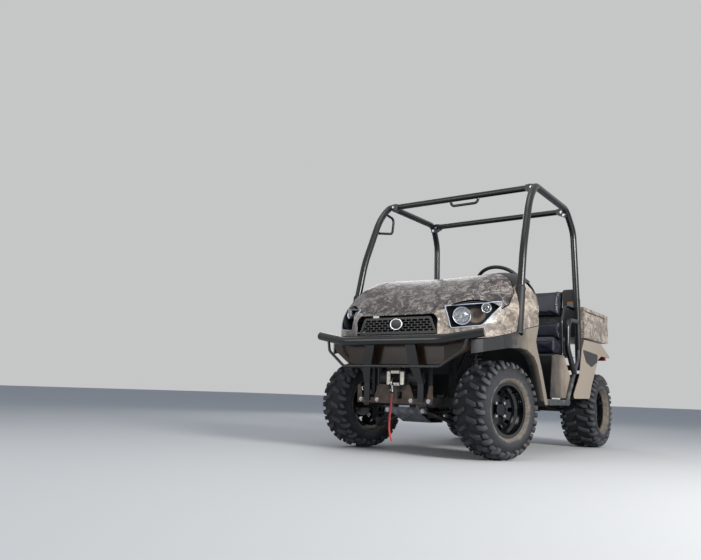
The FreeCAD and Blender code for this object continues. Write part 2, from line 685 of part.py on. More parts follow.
def build_headlamps():
    """A dark tray behind each opening that carries a large and a small round lamp."""
    tray_outline = grown(LAMP_OUTLINE, -0.5)
    pocket_outline = grown(LAMP_OUTLINE, -5)
    tray = slab("xz", tray_outline, (-40, 70)).cut(slab("xz", pocket_outline, (-60, 64)))
    hood_band = hood_region(SWING_GAP).cut(nose_solid(SHELL + SWING_GAP, 60))
    trim = largest(lamp_frame(tray).common(nose_solid(SHELL / 2, 60)).cut(hood_band))
    save("headlamp_housings", both(trim))
    lamps = []
    for x, z, r in (MAIN_LAMP, SMALL_LAMP):
        bowl = Part.makeCylinder(r, 61.7, V(x, 2, z), V(0, 1, 0))
        dome = Part.makeSphere(r * 1.6, V(x, 2 + r * 1.25, z)).common(Part.makeCylinder(r, 60, V(x, -30, z),
            V(0, 1, 0)))
        lamps.append(lamp_frame(bowl.fuse(dome)))
    save("headlamps", [s for lamp in lamps for s in both(lamp)])


GRILLE_TOP = 850.0
GRILLE_LOW = 745.0
GRILLE_TOP_HALF = 244.0
GRILLE_LOW_HALF = 286.0
GRILLE_Y = -1280.0
CELL_WIDTH = 38.0
CELL_HEIGHT = 17.0
CELL_WEB = 5.0
BADGE_RADIUS = 34.0


def build_grille():
    """A raised frame round staggered six-sided cells, with a plain round boss in the middle."""
    outline = [
        (-GRILLE_LOW_HALF, GRILLE_LOW, 10), (GRILLE_LOW_HALF, GRILLE_LOW, 10),
        (GRILLE_TOP_HALF, GRILLE_TOP, 22), (-GRILLE_TOP_HALF, GRILLE_TOP, 22),
    ]
    y = FRONT + GRILLE_Y
    plate = slab("xz", outline, (y, y + 12))
    inner = [
        (-GRILLE_LOW_HALF + 18, GRILLE_LOW + 10, 8), (GRILLE_LOW_HALF - 18, GRILLE_LOW + 10, 8),
        (GRILLE_TOP_HALF - 16, GRILLE_TOP - 12, 14), (-GRILLE_TOP_HALF + 16, GRILLE_TOP - 12, 14),
    ]
    field = slab("xz", inner, (y - 30, y + 50))
    half_w, half_h = CELL_WIDTH / 2, CELL_HEIGHT / 2
    point = half_h * 0.6
    cells = []
    rows = 6
    for row in range(rows):
        z = GRILLE_LOW + 14 + half_h + row * (CELL_HEIGHT - 1.5)
        shift = (CELL_WIDTH + CELL_WEB) / 2 if row % 2 else 0.0
        for col in range(-7, 8):
            x = col * (CELL_WIDTH + CELL_WEB) + shift
            cell = slab("xz", [
                (x - half_w, z), (x - half_w + point, z - half_h + 2), (x + half_w - point, z - half_h + 2),
                (x + half_w, z), (x + half_w - point, z + half_h - 2), (x - half_w + point, z + half_h - 2),
            ], (y - 20, y + 40))
            cells.append(cell)
    holes = Part.makeCompound(cells).common(field)
    boss = Part.makeCylinder(BADGE_RADIUS, 20, V(0, y - 8, (GRILLE_TOP + GRILLE_LOW) / 2 + 8), V(0, 1, 0))
    stays = [block((side * 226 - 6, side * 226 + 6), (y + 11, FRONT + RADIATOR[0] - RUNNING_GAP),
        (GRILLE_LOW + 8, GRILLE_LOW + 24)) for side in (-1, 1)]
    grille = fused([plate.cut(holes), boss] + stays)
    save("grille", grille)


RADIATOR = (-1225.0, -1185.0)


def build_radiator():
    """The finned core behind the grille, on two legs from the rails."""
    core = block((-240, 240), (FRONT + RADIATOR[0], FRONT + RADIATOR[1]), (560, 842))
    leg = block((RAIL_X - 10, RAIL_X + 10), (FRONT + RADIATOR[0] + 10, FRONT + RADIATOR[1] - 10),
        (RAIL_HIGH, 560))
    save("radiator", fused([core] + both(leg)))


# Black lower bodywork: the bumper fascia between the wheels and the wide lower fenders over them.
ARCH = [(-1300, 612), (-1180, 640), (-1030, 668), (-880, 680), (-760, 676), (-640, 640), (-580, 590),
    (-520, 480), (-462, 360)]
FASCIA_HALF = 500.0
FASCIA_CORNER = (345.0, -1300.0)
FASCIA_END_Y = -1262.0
FASCIA_WALL = 5.0


def build_lower_body():
    top = [(y, z - SEAM_GAP) for y, z in SEAM if -1300 < y < -480]
    rear = [(-552, 848), (-604, 745), (-586, 700), (-500, 560), (-420, 400), (-395, 336)]
    outline = [(FRONT + y, z) for y, z in [(-1290, 694)] + top[1:-1] + rear + [(-440,
        333)] + list(reversed(ARCH))]
    flare = slab("yz", outline, (0, 700))
    plan = [
        (LOWER_SKIN, -300), (LOWER_SKIN, -930), (BODY_HALF - 30, -1060), (BODY_HALF - 100, -1200),
        (FASCIA_HALF - 4, FASCIA_END_Y),
    ]
    skin_out = [(x, FRONT + y) for x, y in plan]
    skin_in = [(x - PANEL - 1, FRONT + y + PANEL) for x, y in plan]
    skin_in[0] = (plan[0][0] - PANEL - 1, FRONT - 300)
    side_only = block((FASCIA_HALF + RUNNING_GAP, 900), (-2000, 2000), (0, 2000))
    wall = slab("xy", skin_out + list(reversed(skin_in)), (300, 900)).common(flare)
    lip_in = [(486, -1204), (540, -1140), (BODY_HALF - 90, -1040), (BODY_HALF - 60, -900),
        (BODY_HALF - 60, -300)]
    lip_plan = skin_out + [(x, FRONT + y) for x, y in lip_in]
    arch = [(FRONT + y, z) for y, z in ARCH]
    lip = slab("yz", strip(arch, PANEL), (0, 700))
    lip = lip.common(slab("xy", lip_plan, (300, 900)))
    fender = largest(fused([wall, lip]).cut(post_clearance()[0]).common(side_only))
    end_x, end_y = FASCIA_HALF + 14, FASCIA_END_Y + 10
    line = [(end_x, end_y), FASCIA_CORNER, (-FASCIA_CORNER[0], FASCIA_CORNER[1]), (-end_x, end_y)]
    fascia = slab("xy", strip([(x, FRONT + y) for x, y in line], -FASCIA_WALL), (500, 800))
    fascia = fascia.common(slab("xz", [
        (-FASCIA_HALF, 738, 8), (FASCIA_HALF, 738, 8), (FASCIA_HALF, 670, 20), (480, 640, 30),
        (345, 556, 20), (-345, 556, 20),
        (-480, 640, 30), (-FASCIA_HALF, 670, 20),
    ], (FRONT - 1400, FRONT - 1200)))
    save("lower_bodywork", both(fender) + [fascia])


# Roll cage.
CAGE_RADIUS = 25.0
CAGE_HOOP = [
    # x, y, z, bend radius
    (640, -883, STRUT_BEAM_HIGH - 12, 0), (624, -742, 1340, 900), (604, -560, 1760, 500),
    (598, -430, 1852, 90),
    (588, 262, 1850, 120), (606, 372, 1690, 200), (618, 404, 1000, 900), (620, 408, POST_BEAM_HIGH - 6, 0),
]
CROSS_RADIUS = 22.0
CROSS_FRONT = (FRONT, -420.0, 1850.0, 596.0, 16.0)
CROSS_REAR = (REAR, 268.0, 1838.0, 586.0, 52.0)
HANDLE_RADIUS = 10.0


def end_plates(y, z, half, reach):
    """A bolted flange at a cross bar's left end: two plates, one each side, that reach round the hoop."""
    flange = slab("xz", [
        (half - 70, z - CROSS_RADIUS, 6), (half - 40, z - CROSS_RADIUS - 12, 8), (half - 8, z - reach, 10),
        (half + 12, z - reach, 8),
        (half + 12, z + 14, 8), (half - 40, z + CROSS_RADIUS, 8), (half - 70, z + CROSS_RADIUS - 4, 6),
    ], (y - CROSS_RADIUS - 5, y + CROSS_RADIUS + 5))
    return flange


def build_cage():
    side = hoop(CAGE_RADIUS)
    side = side.cut(block((500, 700), (FRONT - 1000, FRONT - 500), (0, STRUT_BEAM_HIGH)))
    side = side.cut(block((500, 700), (REAR, REAR + 500), (0, POST_BEAM_HIGH)))
    save("cage_hoops", both(side))
    room = Part.makeCompound(both(hoop(CAGE_RADIUS + RUNNING_GAP)))
    bars = []
    for datum, y, z, half, plate in (CROSS_FRONT, CROSS_REAR):
        bar = fused([rod((-half, datum + y, z), (half, datum + y, z),
            CROSS_RADIUS)] + both(end_plates(datum + y, z, half, plate)))
        bars.append(largest(bar.cut(room)))
    y, z = FRONT + CROSS_FRONT[1], CROSS_FRONT[2] - CROSS_RADIUS / 2
    roof_handle = tube([(-68, y, z, 0), (-68, y, z - 44, 30), (154, y, z - 44, 30), (154, y, z, 0)],
        HANDLE_RADIUS)
    side_handle = tube([
        (-594, FRONT - 511, 1775, 0), (-588, FRONT - 400, 1760, 34), (-588, FRONT - 420, 1636, 34),
        (-599, FRONT - 594, 1604, 0),
    ], HANDLE_RADIUS)
    side_handle = largest(side_handle.cut(room))
    save("cage_cross_bars", [fused([bars[0], roof_handle]), bars[1], side_handle])


HIP_RADIUS = 20.0
ARM_RADIUS = 10.0


def build_hip_guards():
    """Outer bars in front of the rear posts, and the arm bars beside the seat."""
    outer = tube([
        (618, REAR + 396, 972, 0), (608, REAR + 196, 972, 80), (608, REAR + 178, 760, 160),
        (628, REAR + 214, 640, 120),
        (632, REAR + 262, 566, 0),
    ], HIP_RADIUS)
    outer = outer.cut(hoop(CAGE_RADIUS + RUNNING_GAP))
    outer = largest(outer.cut(tube([(x, REAR + y, z, r) for x, y, z, r in RISER],
        RISER_RADIUS + RUNNING_GAP)))
    arm = tube([
        (572, REAR + 433.7, 1085, 0), (572, REAR + 250, 1085, 70), (572, REAR + 165, 960, 90),
        (572, REAR + 165, 670, 50),
        (572, REAR + SEAT_BEAM[1] + RUNNING_GAP, 670, 0),
    ], ARM_RADIUS)
    save("hip_guards", both(outer) + both(arm))
    guard = slab("xz", [(494, 860, 20), (632, 860, 20), (632, 1160, 60), (590, 1240, 30), (494, 1240, 20)],
        (REAR + 434, REAR + 440))
    clamp = largest(block((600, 632), (REAR + 418, REAR + 436),
        (905, 935)).cut(hoop(CAGE_RADIUS + RUNNING_GAP)))
    save("side_guards", both(fused([guard, clamp])))


# Brush guard, winch mount and winch.
GUARD_RADIUS = 27.0
GUARD_Y = GUARD_RADIUS - AXLE_TO_DATUM - FRONT_REACH
GUARD_BEND = 345.0
GUARD_Z = 697.0
GUARD_END = (596.0, -1286.0, 743.0)
LOOP_RADIUS = 9.0
LOOP_LOW = 540.0
MOUNT_BOLTS = (122.0, 244.0)
MOUNT_BOLT_Z = 335.0
BOLT_BORE = 6.5
PLATE_SLOT = ((26.0, 60.0), (342.0, 388.0))
WINCH_X = 20.0
WINCH_Z = 468.0


def build_guard():
    bar = tube([
        (-GUARD_END[0], FRONT + GUARD_END[1], GUARD_END[2], 0), (-GUARD_BEND, FRONT + GUARD_Y, GUARD_Z, 150),
        (GUARD_BEND, FRONT + GUARD_Y, GUARD_Z, 150), (GUARD_END[0], FRONT + GUARD_END[1], GUARD_END[2], 0),
    ], GUARD_RADIUS)
    loop = tube([
        (-508, FRONT - 1316, 724, 0), (-486, FRONT - 1328, 640, 40),
        (-GUARD_BEND, FRONT + GUARD_Y, LOOP_LOW, 40),
        (GUARD_BEND, FRONT + GUARD_Y, LOOP_LOW, 40), (486, FRONT - 1328, 640, 40),
        (508, FRONT - 1316, 724, 0),
    ], LOOP_RADIUS)
    face = MOUNT_Y - RUNNING_GAP
    side = slab("yz", [
        (FRONT + GUARD_Y - 4, GUARD_Z + 12), (FRONT + GUARD_Y + 24, GUARD_Z + 12),
        (FRONT + GUARD_Y + 16, LOOP_LOW),
        (FRONT + face, 440), (FRONT + face, 330), (FRONT + face - 9, 330), (FRONT + face - 9, 436),
        (FRONT + GUARD_Y + 5, LOOP_LOW - 4),
    ], (60, 280))
    front = slab("xz", [
        (101, 724), (169, 724), (206, LOOP_LOW), (214, 440), (214, 326), (174, 326), (174, 440),
        (140, LOOP_LOW),
    ], (FRONT - 1500, FRONT - 1200))
    save("brush_guard", fused([bar, loop] + both(side.common(front))))


def build_winch():
    back = FRONT + MOUNT_Y + MOUNT_PLATE
    plate = slab("xz", [
        (-270, 315), (270, 315), (270, 427), (248, 427), (232, 348), (144, 348), (112, 430), (-112, 430),
        (-144, 348), (-232, 348), (-248, 427), (-270, 427),
    ], (FRONT + MOUNT_Y, back))
    plate = plate.cut(block(PLATE_SLOT[0], (FRONT + MOUNT_Y - 50, back + 50), PLATE_SLOT[1]))
    for x in MOUNT_BOLTS:
        for side in (-1, 1):
            plate = plate.cut(rod((side * x, back + 20, MOUNT_BOLT_Z),
                (side * x, FRONT + MOUNT_Y - 20, MOUNT_BOLT_Z), BOLT_BORE))
    tray = block((-100, 100), (FRONT + MOUNT_Y + 1, FRONT - 1200), (WINCH_Z - 70, WINCH_Z - 64))
    save("winch_mount", fused([plate, tray]))
    y = FRONT - 1244
    drum = rod((WINCH_X - 52, y, WINCH_Z), (WINCH_X + 52, y, WINCH_Z), 30)
    motor = rod((WINCH_X + 52, y, WINCH_Z), (WINCH_X + 150, y, WINCH_Z), 40)
    gears = rod((WINCH_X - 130, y, WINCH_Z), (WINCH_X - 52, y, WINCH_Z), 42)
    feet = [block((WINCH_X + a, WINCH_X + a + 20), (y - 34, y + 34),
        (WINCH_Z - 64, WINCH_Z - 8)) for a in (-72, 50)]
    winch = fused([drum, motor, gears] + feet)
    face = FRONT + MOUNT_Y - RUNNING_GAP
    frame = block((WINCH_X - 62, WINCH_X + 62), (face - 4, face), (WINCH_Z - 66, WINCH_Z + 50))
    frame = frame.cut(block((WINCH_X - 36, WINCH_X + 36), (face - 40, face + 40),
        (WINCH_Z - 22, WINCH_Z + 26)))
    rollers = []
    for x in (-48, 48):
        rollers.append(rod((WINCH_X + x, face - 16, WINCH_Z - 44), (WINCH_X + x, face - 16, WINCH_Z + 46),
            12))
    for z in (WINCH_Z - 36, WINCH_Z + 38):
        rollers.append(rod((WINCH_X - 48, face - 14, z), (WINCH_X + 48, face - 14, z), 9))
    save("winch", [winch, fused([frame] + rollers), hook(y - 30 - RUNNING_GAP)])


HOOK_X = 19.0
HOOK_Y = -1352.0
STRAP_RADIUS = 6.0
STRAP = [
    # x, y from FRONT, z
    (19.0, -1352.0, 375.7), (18.0, -1355.0, 332.0), (15.0, -1351.0, 285.0), (9.0, -1354.0, 238.0),
    (5.0, -1350.0, 188.0),
    (8.0, -1353.0, 138.0), (27.0, -1352.0, 90.0),
]


def hook(rope_start):
    """The wire rope's free end with its thimble and hook."""
    rope = tube([(HOOK_X, rope_start, WINCH_Z, 0), (HOOK_X, FRONT + HOOK_Y, WINCH_Z, 12),
        (HOOK_X, FRONT + HOOK_Y, WINCH_Z - 24, 0)], 3.5)
    eye = Part.makeCylinder(13, 10, V(HOOK_X - 5, FRONT + HOOK_Y, WINCH_Z - 32), V(1, 0, 0))
    claw = slab("yz", strip([
        (FRONT + HOOK_Y + 4, WINCH_Z - 38), (FRONT + HOOK_Y + 4, WINCH_Z - 58),
        (FRONT + HOOK_Y + 12, WINCH_Z - 70),
        (FRONT + HOOK_Y + 6, WINCH_Z - 83), (FRONT + HOOK_Y - 8, WINCH_Z - 84),
        (FRONT + HOOK_Y - 16, WINCH_Z - 74),
    ], 8), (HOOK_X - 6, HOOK_X + 6))
    return fused([rope, eye, claw])


def build_strap():
    """The pull strap that hangs from the hook."""
    points = [(x, FRONT + y, z) for x, y, z in STRAP]
    save("pull_strap", tube(with_bends(points), STRAP_RADIUS))


def with_bends(points):
    """Gives each inner point of a cord's route the largest bend that its two runs allow."""
    route = [(*points[0], 0)]
    for before, here, after in zip(points, points[1:], points[2:]):
        a, b, c = V(*before), V(*here), V(*after)
        turn = (b - a).getAngle(c - b)
        radius = 0.45 * min((b - a).Length, (c - b).Length) / math.tan(turn / 2)
        print("bend", round(radius, 1))
        route.append((*here, radius))
    return route + [(*points[-1], 0)]


# Seats: a bench of two cushions and two backs on a sheet box.
SEAT_HALF = 550.0
SEAT_SPLIT = 8.0
SEAT_FRONT = 60.0
CUSHION_HIGH = 832.0
BACK_HALF = 480.0


def build_seats():
    low = SEAT_TOP + RUNNING_GAP
    cushion = slab("yz", [
        (REAR + SEAT_FRONT, low, 20), (REAR + 440, low), (REAR + 440, CUSHION_HIGH - 20, 10),
        (REAR + SEAT_FRONT + 60, CUSHION_HIGH, 60), (REAR + SEAT_FRONT, CUSHION_HIGH - 10, 40),
    ], (SEAT_SPLIT / 2, SEAT_HALF))
    save("seat_cushions", both(cushion))
    back_low = slab("yz", [
        (REAR + 398, 846, 12), (REAR + 448, 846, 12), (REAR + 462, 985, 12), (REAR + 402, 985, 16),
    ], (SEAT_SPLIT / 2, BACK_HALF))
    back_high = slab("yz", [
        (REAR + 404, 1029, 14), (REAR + 466, 1029, 14), (REAR + 488, 1240, 14), (REAR + 420, 1240, 26),
    ], (SEAT_SPLIT / 2, BACK_HALF))
    save("seat_backs", both(back_low) + both(back_high))
    box_line = [(REAR + 500, SEAT_TOP), (REAR + 56, SEAT_TOP), (REAR + 40, 690), (REAR - 46, FLOOR_Z + PANEL)]
    box = slab("yz", strip(box_line, PANEL), (-560, 560))
    save("seat_box", box.cut(block((-600, 600), (REAR - 100, REAR), (0, FLOOR_Z + PANEL))))


def seat_back_bars():
    """A sheet on each side behind the seat backs, following their slant."""
    line = [
        (REAR + 488.6, 1232), (REAR + 466.4, 1029), (REAR + 462.4, 985), (REAR + 448.8, 846),
        (REAR + 448.8, SEAT_TOP),
    ]
    return both(slab("yz", strip(line, 6), (12, BACK_HALF - 4)))


# Rear bodywork: the side panel under the seat and the rear fender that sweeps over the wheel.
REAR_FENDER = [
    # y, z, corner radius
    (150, 384, 20), (572, 388, 50), (632, 490, 60), (752, 618, 80), (830, 706, 60), (930, 742, 80),
    (1165, 736, 10),
    (1175, 752, 8), (930, 842, 60), (470, 842, 20), (400, 760, 60), (330, 560, 90),
]
SEAT_PANEL = [(-215, 384, 10), (205, 384, 40), (250, 520, 60), (100, 694, 10), (-60, 694), (-165, 680, 30)]
TAIL_LAMP = ((548, 628), (1118, 1150))


def build_rear_body():
    panel = slab("yz", [(REAR + p[0],) + p[1:] for p in SEAT_PANEL], (SIDE_PANEL_X, SIDE_PANEL_X + PANEL))
    save("seat_side_panels", both(panel))
    skin = slab("yz", [(REAR + p[0],) + p[1:] for p in REAR_FENDER], (FENDER_SKIN - PANEL, FENDER_SKIN))
    deck_line = [(REAR + 1172, 753), (REAR + 925, 842), (REAR + 470, 842)]
    deck = slab("yz", strip(deck_line, PANEL), (470, FENDER_SKIN - PANEL + 1))
    save("rear_fenders", both(fused([skin, deck])))
    lamp = block(TAIL_LAMP[0], (REAR + TAIL_LAMP[1][0], REAR + TAIL_LAMP[1][1]), (716, 756))
    lamp = lamp.cut(slab("yz", [(REAR + 1172, 753 - PANEL * 1.12 - 0.3),
        (REAR + 1000, 815 - PANEL * 1.12 - 0.3), (REAR + 1000, 900), (REAR + 1172, 900)], (0, 800)))
    save("tail_lamps", both(lamp))


# Tipping bed with its gate, its rests and its hinge posts.
BED_HALF = 640.0
BED_FRONT = 500.0
BED_REAR = 1150.0
BED_LOW = 862.0
BED_HIGH = 1105.0
BED_WALL = 28.0
BED_FLOOR = 12.0
GROOVE = (1062.0, 1080.0)
GROOVE_DEPTH = 12.0
BED_AXIS = (1090.0, 830.0)
BED_PIN = 8.0
BED_REST = (730.0, 760.0)
GATE_THICK = 30.0
GATE_AXIS = (1171.0, 868.0)
GATE_HINGES = (-440.0, 440.0)
GATE_PIN = 5.0


def build_bed():
    outer = block((-BED_HALF, BED_HALF), (REAR + BED_FRONT, REAR + BED_REAR), (BED_LOW, BED_HIGH))
    hollow = block((-BED_HALF + BED_WALL, BED_HALF - BED_WALL),
        (REAR + BED_FRONT + BED_WALL, REAR + BED_REAR + 50), (BED_LOW + BED_FLOOR, BED_HIGH + 50))
    for side in both(block((BED_HALF - GROOVE_DEPTH, 900), (REAR + BED_FRONT + 24, REAR + BED_REAR - 40),
        GROOVE)):
        outer = outer.cut(side)
    y, z = bed_axis()
    lugs = []
    for low, high in ((RAIL_OUT + 1, RAIL_OUT + 9), (-RAIL_OUT - 9, -RAIL_OUT - 1)):
        lugs.append(slab("yz", [(y - 22, BED_LOW + 2), (y + 22, BED_LOW + 2), (y + 14, z - 12, 8),
            (y - 14, z - 12, 8)], (low, high)))
    pins = both(rod((RAIL_IN, y, z), (RAIL_OUT + 9, y, z), BED_PIN))
    save("bed", fused([outer.cut(hollow)] + lugs + pins + [gate_hinge(x) for x in GATE_HINGES]))
    gate_y = REAR + BED_REAR + SWING_GAP
    gate = block((-BED_HALF, BED_HALF), (gate_y, gate_y + GATE_THICK), (BED_LOW + 4, BED_HIGH - 4))
    for x in GATE_HINGES:
        gate = gate.cut(block((x - 16, x + 16), (gate_y - 5, gate_y + GATE_THICK + 5),
            (BED_LOW, GATE_AXIS[1] + 17)))
        gate = gate.cut(gate_pin(x, RUNNING_GAP))
    save("tailgate", gate)


def gate_pin(x, gap):
    return rod((x - 26 - gap, REAR + GATE_AXIS[0], GATE_AXIS[1]),
        (x + 26 + gap, REAR + GATE_AXIS[0], GATE_AXIS[1]), GATE_PIN + gap)


def gate_hinge(x):
    """A lug on the bed's rear edge with a pin through it."""
    y, z = REAR + GATE_AXIS[0], GATE_AXIS[1]
    lug = block((x - 10, x + 10), (REAR + BED_REAR - 4, y), (z - 6, z + 6))
    return fused([lug, rod((x - 10, y, z), (x + 10, y, z), 10), gate_pin(x, 0)])


def bed_axis():
    return REAR + BED_AXIS[0], BED_AXIS[1]


def bed_posts():
    """On the rails: the bed's rests, its bored hinge posts and the towers that hold the rear shocks."""
    y, z = bed_axis()
    rest = block((RAIL_X - 15, RAIL_X + 15), (REAR + BED_REST[0], REAR + BED_REST[1]),
        (DECK_Z, BED_LOW - RUNNING_GAP))
    post = block((RAIL_IN + 5, RAIL_OUT - 1), (y - 15, y + 15), (DECK_Z, z + 15))
    post = post.cut(rod((0, y, z), (400, y, z), BED_PIN + RUNNING_GAP))
    tower_y = REAR_AXLE + SHOCK_BACK
    inner, outer = RAIL_IN + 2, RAIL_OUT - 2
    tower = slab("xz", [
        (inner, DECK_Z), (outer, DECK_Z), (outer, SHOCK_TOP - 25), (outer + 40, SHOCK_TOP),
        (SHOCK_X + 34, SHOCK_TOP),
        (SHOCK_X + 34, SHOCK_TOWER_TOP), (inner, SHOCK_TOWER_TOP),
    ], (tower_y - 18, tower_y + 18))
    return both(rest) + both(post) + both(tower)


# Front suspension and steering, left side; the knuckle is built straight ahead and then turned to its
# rest angle.
ARM_PIVOT_X = 128.0
ARM_PIVOT_Z = 272.0
ARM_EYE = 16.0
ARM_ROD = 13.0
ARM_BALL_Z = 160.0
FRONT_PIVOT = (-1139.7, -1111.0)
REAR_PIVOT = (-868.0, -838.3)
SUBFRAME_FRONT = (-1160.0, -1140.0)
SUBFRAME_REAR = (-838.0, -822.0)
KNUCKLE_EAR = (190.0, 214.0)
KNUCKLE_RING = (385.0, 425.0)
ARM_PLATE = (236.0, 250.0)
TIE_ROD_Z = 274.0
TIE_ROD = 8.0
TIE_EYE = (263.0, 285.0)


def build_arm_brackets(bars):
    """The bars that carry the lower arms' pivots, with the skid plate bent up to meet them."""
    skid_line = [(-1158, 255.7), (-1139, 255.7), (-1000, 201), (-848, 201), (-837, 249.7), (-822, 249.7)]
    skid = slab("yz", strip([(FRONT + a, b - SHEET) for a, b in skid_line], SHEET), (-105, 105))
    save("arm_brackets", bars + [skid])


def build_front_suspension():
    bars = [
        block((-150, 150), (FRONT + SUBFRAME_FRONT[0], FRONT + SUBFRAME_FRONT[1]), (256, 293)),
        block((-110, -80), (FRONT + SUBFRAME_FRONT[0], FRONT + SUBFRAME_FRONT[1]), (290, FRONT_CROSS_LOW)),
        block((80, 110), (FRONT + SUBFRAME_FRONT[0], FRONT + SUBFRAME_FRONT[1]), (290, FRONT_CROSS_LOW)),
    ]
    rear = block((-150, 150), (FRONT + SUBFRAME_REAR[0], FRONT + SUBFRAME_REAR[1]), (250, FRONT_CROSS_LOW))
    build_arm_brackets([fused(bars), rear])


def lower_arm():
    """The left lower arm: two legs from their pivots to the ball joint's boss."""
    arm = [rod((ARM_PIVOT_X, FRONT + a, ARM_PIVOT_Z), (ARM_PIVOT_X, FRONT + b, ARM_PIVOT_Z), ARM_EYE) for a,
        b in (FRONT_PIVOT, REAR_PIVOT)]
    arm.append(rod((ARM_PIVOT_X, FRONT - 1125, ARM_PIVOT_Z), (KINGPIN_X - 6, FRONT_AXLE - 6, ARM_BALL_Z),
        ARM_ROD))
    arm.append(rod((ARM_PIVOT_X, FRONT - 853, ARM_PIVOT_Z), (KINGPIN_X - 6, FRONT_AXLE + 4, ARM_BALL_Z),
        ARM_ROD))
    low = ARM_BALL_Z - 15
    arm.append(Part.makeCylinder(19, KNUCKLE_EAR[0] - RUNNING_GAP - low, V(KINGPIN_X, FRONT_AXLE, low)))
    return fused(arm)


def build_shock_absorbers():
    profile = [(0, 380), (STRUT_TUBE_RADIUS, 380), (STRUT_TUBE_RADIUS, 606), (46, 612)]
    for i in range(5):
        z = 618 + i * 24
        profile += [(46, z), (40, z + 8), (40, z + 16), (46, z + 22)]
    profile += [(46, 738), (30, STRUT_BEAM_LOW), (0, STRUT_BEAM_LOW)]
    face = Part.Face(Part.makePolygon([V(r, 0, z) for r, z in profile + [profile[0]]]))
    strut = face.revolve(V(0, 0, 0), Z_AXIS, 360)
    strut.translate(V(KINGPIN_X, FRONT_AXLE, 0))
    save("shock_absorbers", both(strut) + both(rear_shock()))


def knuckle():
    """The left knuckle, straight ahead: stub axle, strut ring, ball-joint ear and steering arm."""
    x, y = KINGPIN_X, FRONT_AXLE
    hub_x = FRONT_TRACK / 2 - HUB_FACE - RUNNING_GAP
    web = block((x + 26, x + 42), (y - 22, y + 22), (KNUCKLE_EAR[0], KNUCKLE_RING[1]))
    stub = rod((x + 40, y, AXLE_HEIGHT), (hub_x, y, AXLE_HEIGHT), 30)
    ear = Part.makeCylinder(24, KNUCKLE_EAR[1] - KNUCKLE_EAR[0], V(x, y, KNUCKLE_EAR[0]))
    ear_arm = block((x, x + 30), (y - 18, y + 18), KNUCKLE_EAR)
    ring = Part.makeCylinder(36, KNUCKLE_RING[1] - KNUCKLE_RING[0], V(x, y, KNUCKLE_RING[0]))
    steer = slab("xy", [(x + 26, y - 20), (x + 42, y - 20), (x + 42, y + 40, 10),
        (x + 13, y + STEERING_ARM + 13, 12), (x - 13, y + STEERING_ARM + 13, 12),
        (x - 13, y + STEERING_ARM - 13, 12), (x + 26, y + 20)], ARM_PLATE)
    pin = Part.makeCylinder(7, TIE_EYE[0] - 1 - ARM_PLATE[1] + 1, V(x, y + STEERING_ARM, ARM_PLATE[1] - 1))
    body = fused([web, stub, ear, ear_arm, ring, steer, pin])
    return body.cut(Part.makeCylinder(STRUT_TUBE_RADIUS + 0.6, 60, V(x, y, KNUCKLE_RING[0] - 10)))


def tie_rod_end(side):
    """Where a tie rod meets its steering arm at the rest angle."""
    x = side * KINGPIN_X - STEERING_ARM * math.sin(STEER_REST)
    return x, FRONT_AXLE + STEERING_ARM * math.cos(STEER_REST)


def build_steering_gear():
    straight = knuckle()
    save("knuckle_left", turned(straight, STEER_REST, KINGPIN_X, FRONT_AXLE))
    save("knuckle_right", turned(mirrored(straight), STEER_REST, -KINGPIN_X, FRONT_AXLE))
    left_x, y = tie_rod_end(1)
    right_x, _ = tie_rod_end(-1)
    bar = rod((right_x, y, TIE_ROD_Z), (left_x, y, TIE_ROD_Z), TIE_ROD)
    eyes = [Part.makeCylinder(15, TIE_EYE[1] - TIE_EYE[0], V(x, y, TIE_EYE[0])) for x in (left_x, right_x)]
    save("tie_rod", fused([bar] + eyes))


def steering_rack():
    """The rack's housing, bored for the tie rod, hung from a cross tube, with the pinion's boss on top."""
    y = tie_rod_end(1)[1]
    housing = rod((-130, y, TIE_ROD_Z), (130, y, TIE_ROD_Z), 21)
    saddles = [block((x, x + 22), (y - 22, y - 5), (TIE_ROD_Z, FRONT_CROSS_LOW)) for x in (-100, 78)]
    pinion = rod((PINION_X, FRONT + PINION_Y, TIE_ROD_Z), (PINION_X, FRONT + PINION_Y, PINION_TOP), 15)
    return fused([housing, pinion] + saddles).cut(rod((-200, y, TIE_ROD_Z), (200, y, TIE_ROD_Z),
        TIE_ROD + 0.6))


def front_drive():
    """The front gear case and a half shaft to each wheel, with its joint on the kingpin's line."""
    case = block((-70, 70), (FRONT_AXLE - 80, FRONT - 850.3), (225, 325))
    shafts = []
    for side in (-1, 1):
        start, end = (side * 60, FRONT_AXLE, 260.0), (side * (KINGPIN_X - 4), FRONT_AXLE, AXLE_HEIGHT - 1)
        shafts.append(fused([rod(start, end, 11), Part.makeSphere(21,
            V(side * KINGPIN_X, FRONT_AXLE, AXLE_HEIGHT))]))
    inside = block((-70 - RUNNING_GAP, 70 + RUNNING_GAP), (FRONT_AXLE - 50, FRONT_AXLE + 50), (200, 400))
    return [case] + [shaft.cut(inside) for shaft in shafts]


# Drivetrain and rear suspension.
ENGINE = ((510.0, 838.0), (352.0, 742.0))
TRANSAXLE = ((838.0, 962.0), (270.0, 410.0))
CARRIER_X = (430.0, 446.0)
AXLE_TUBE_BACK = 95.0
AXLE_TUBE_RADIUS = 25.0
SHOCK_BACK = 95.0
SHOCK_X = 312.0
SHOCK_TOP = 640.0
SHOCK_TOWER_TOP = 660.0


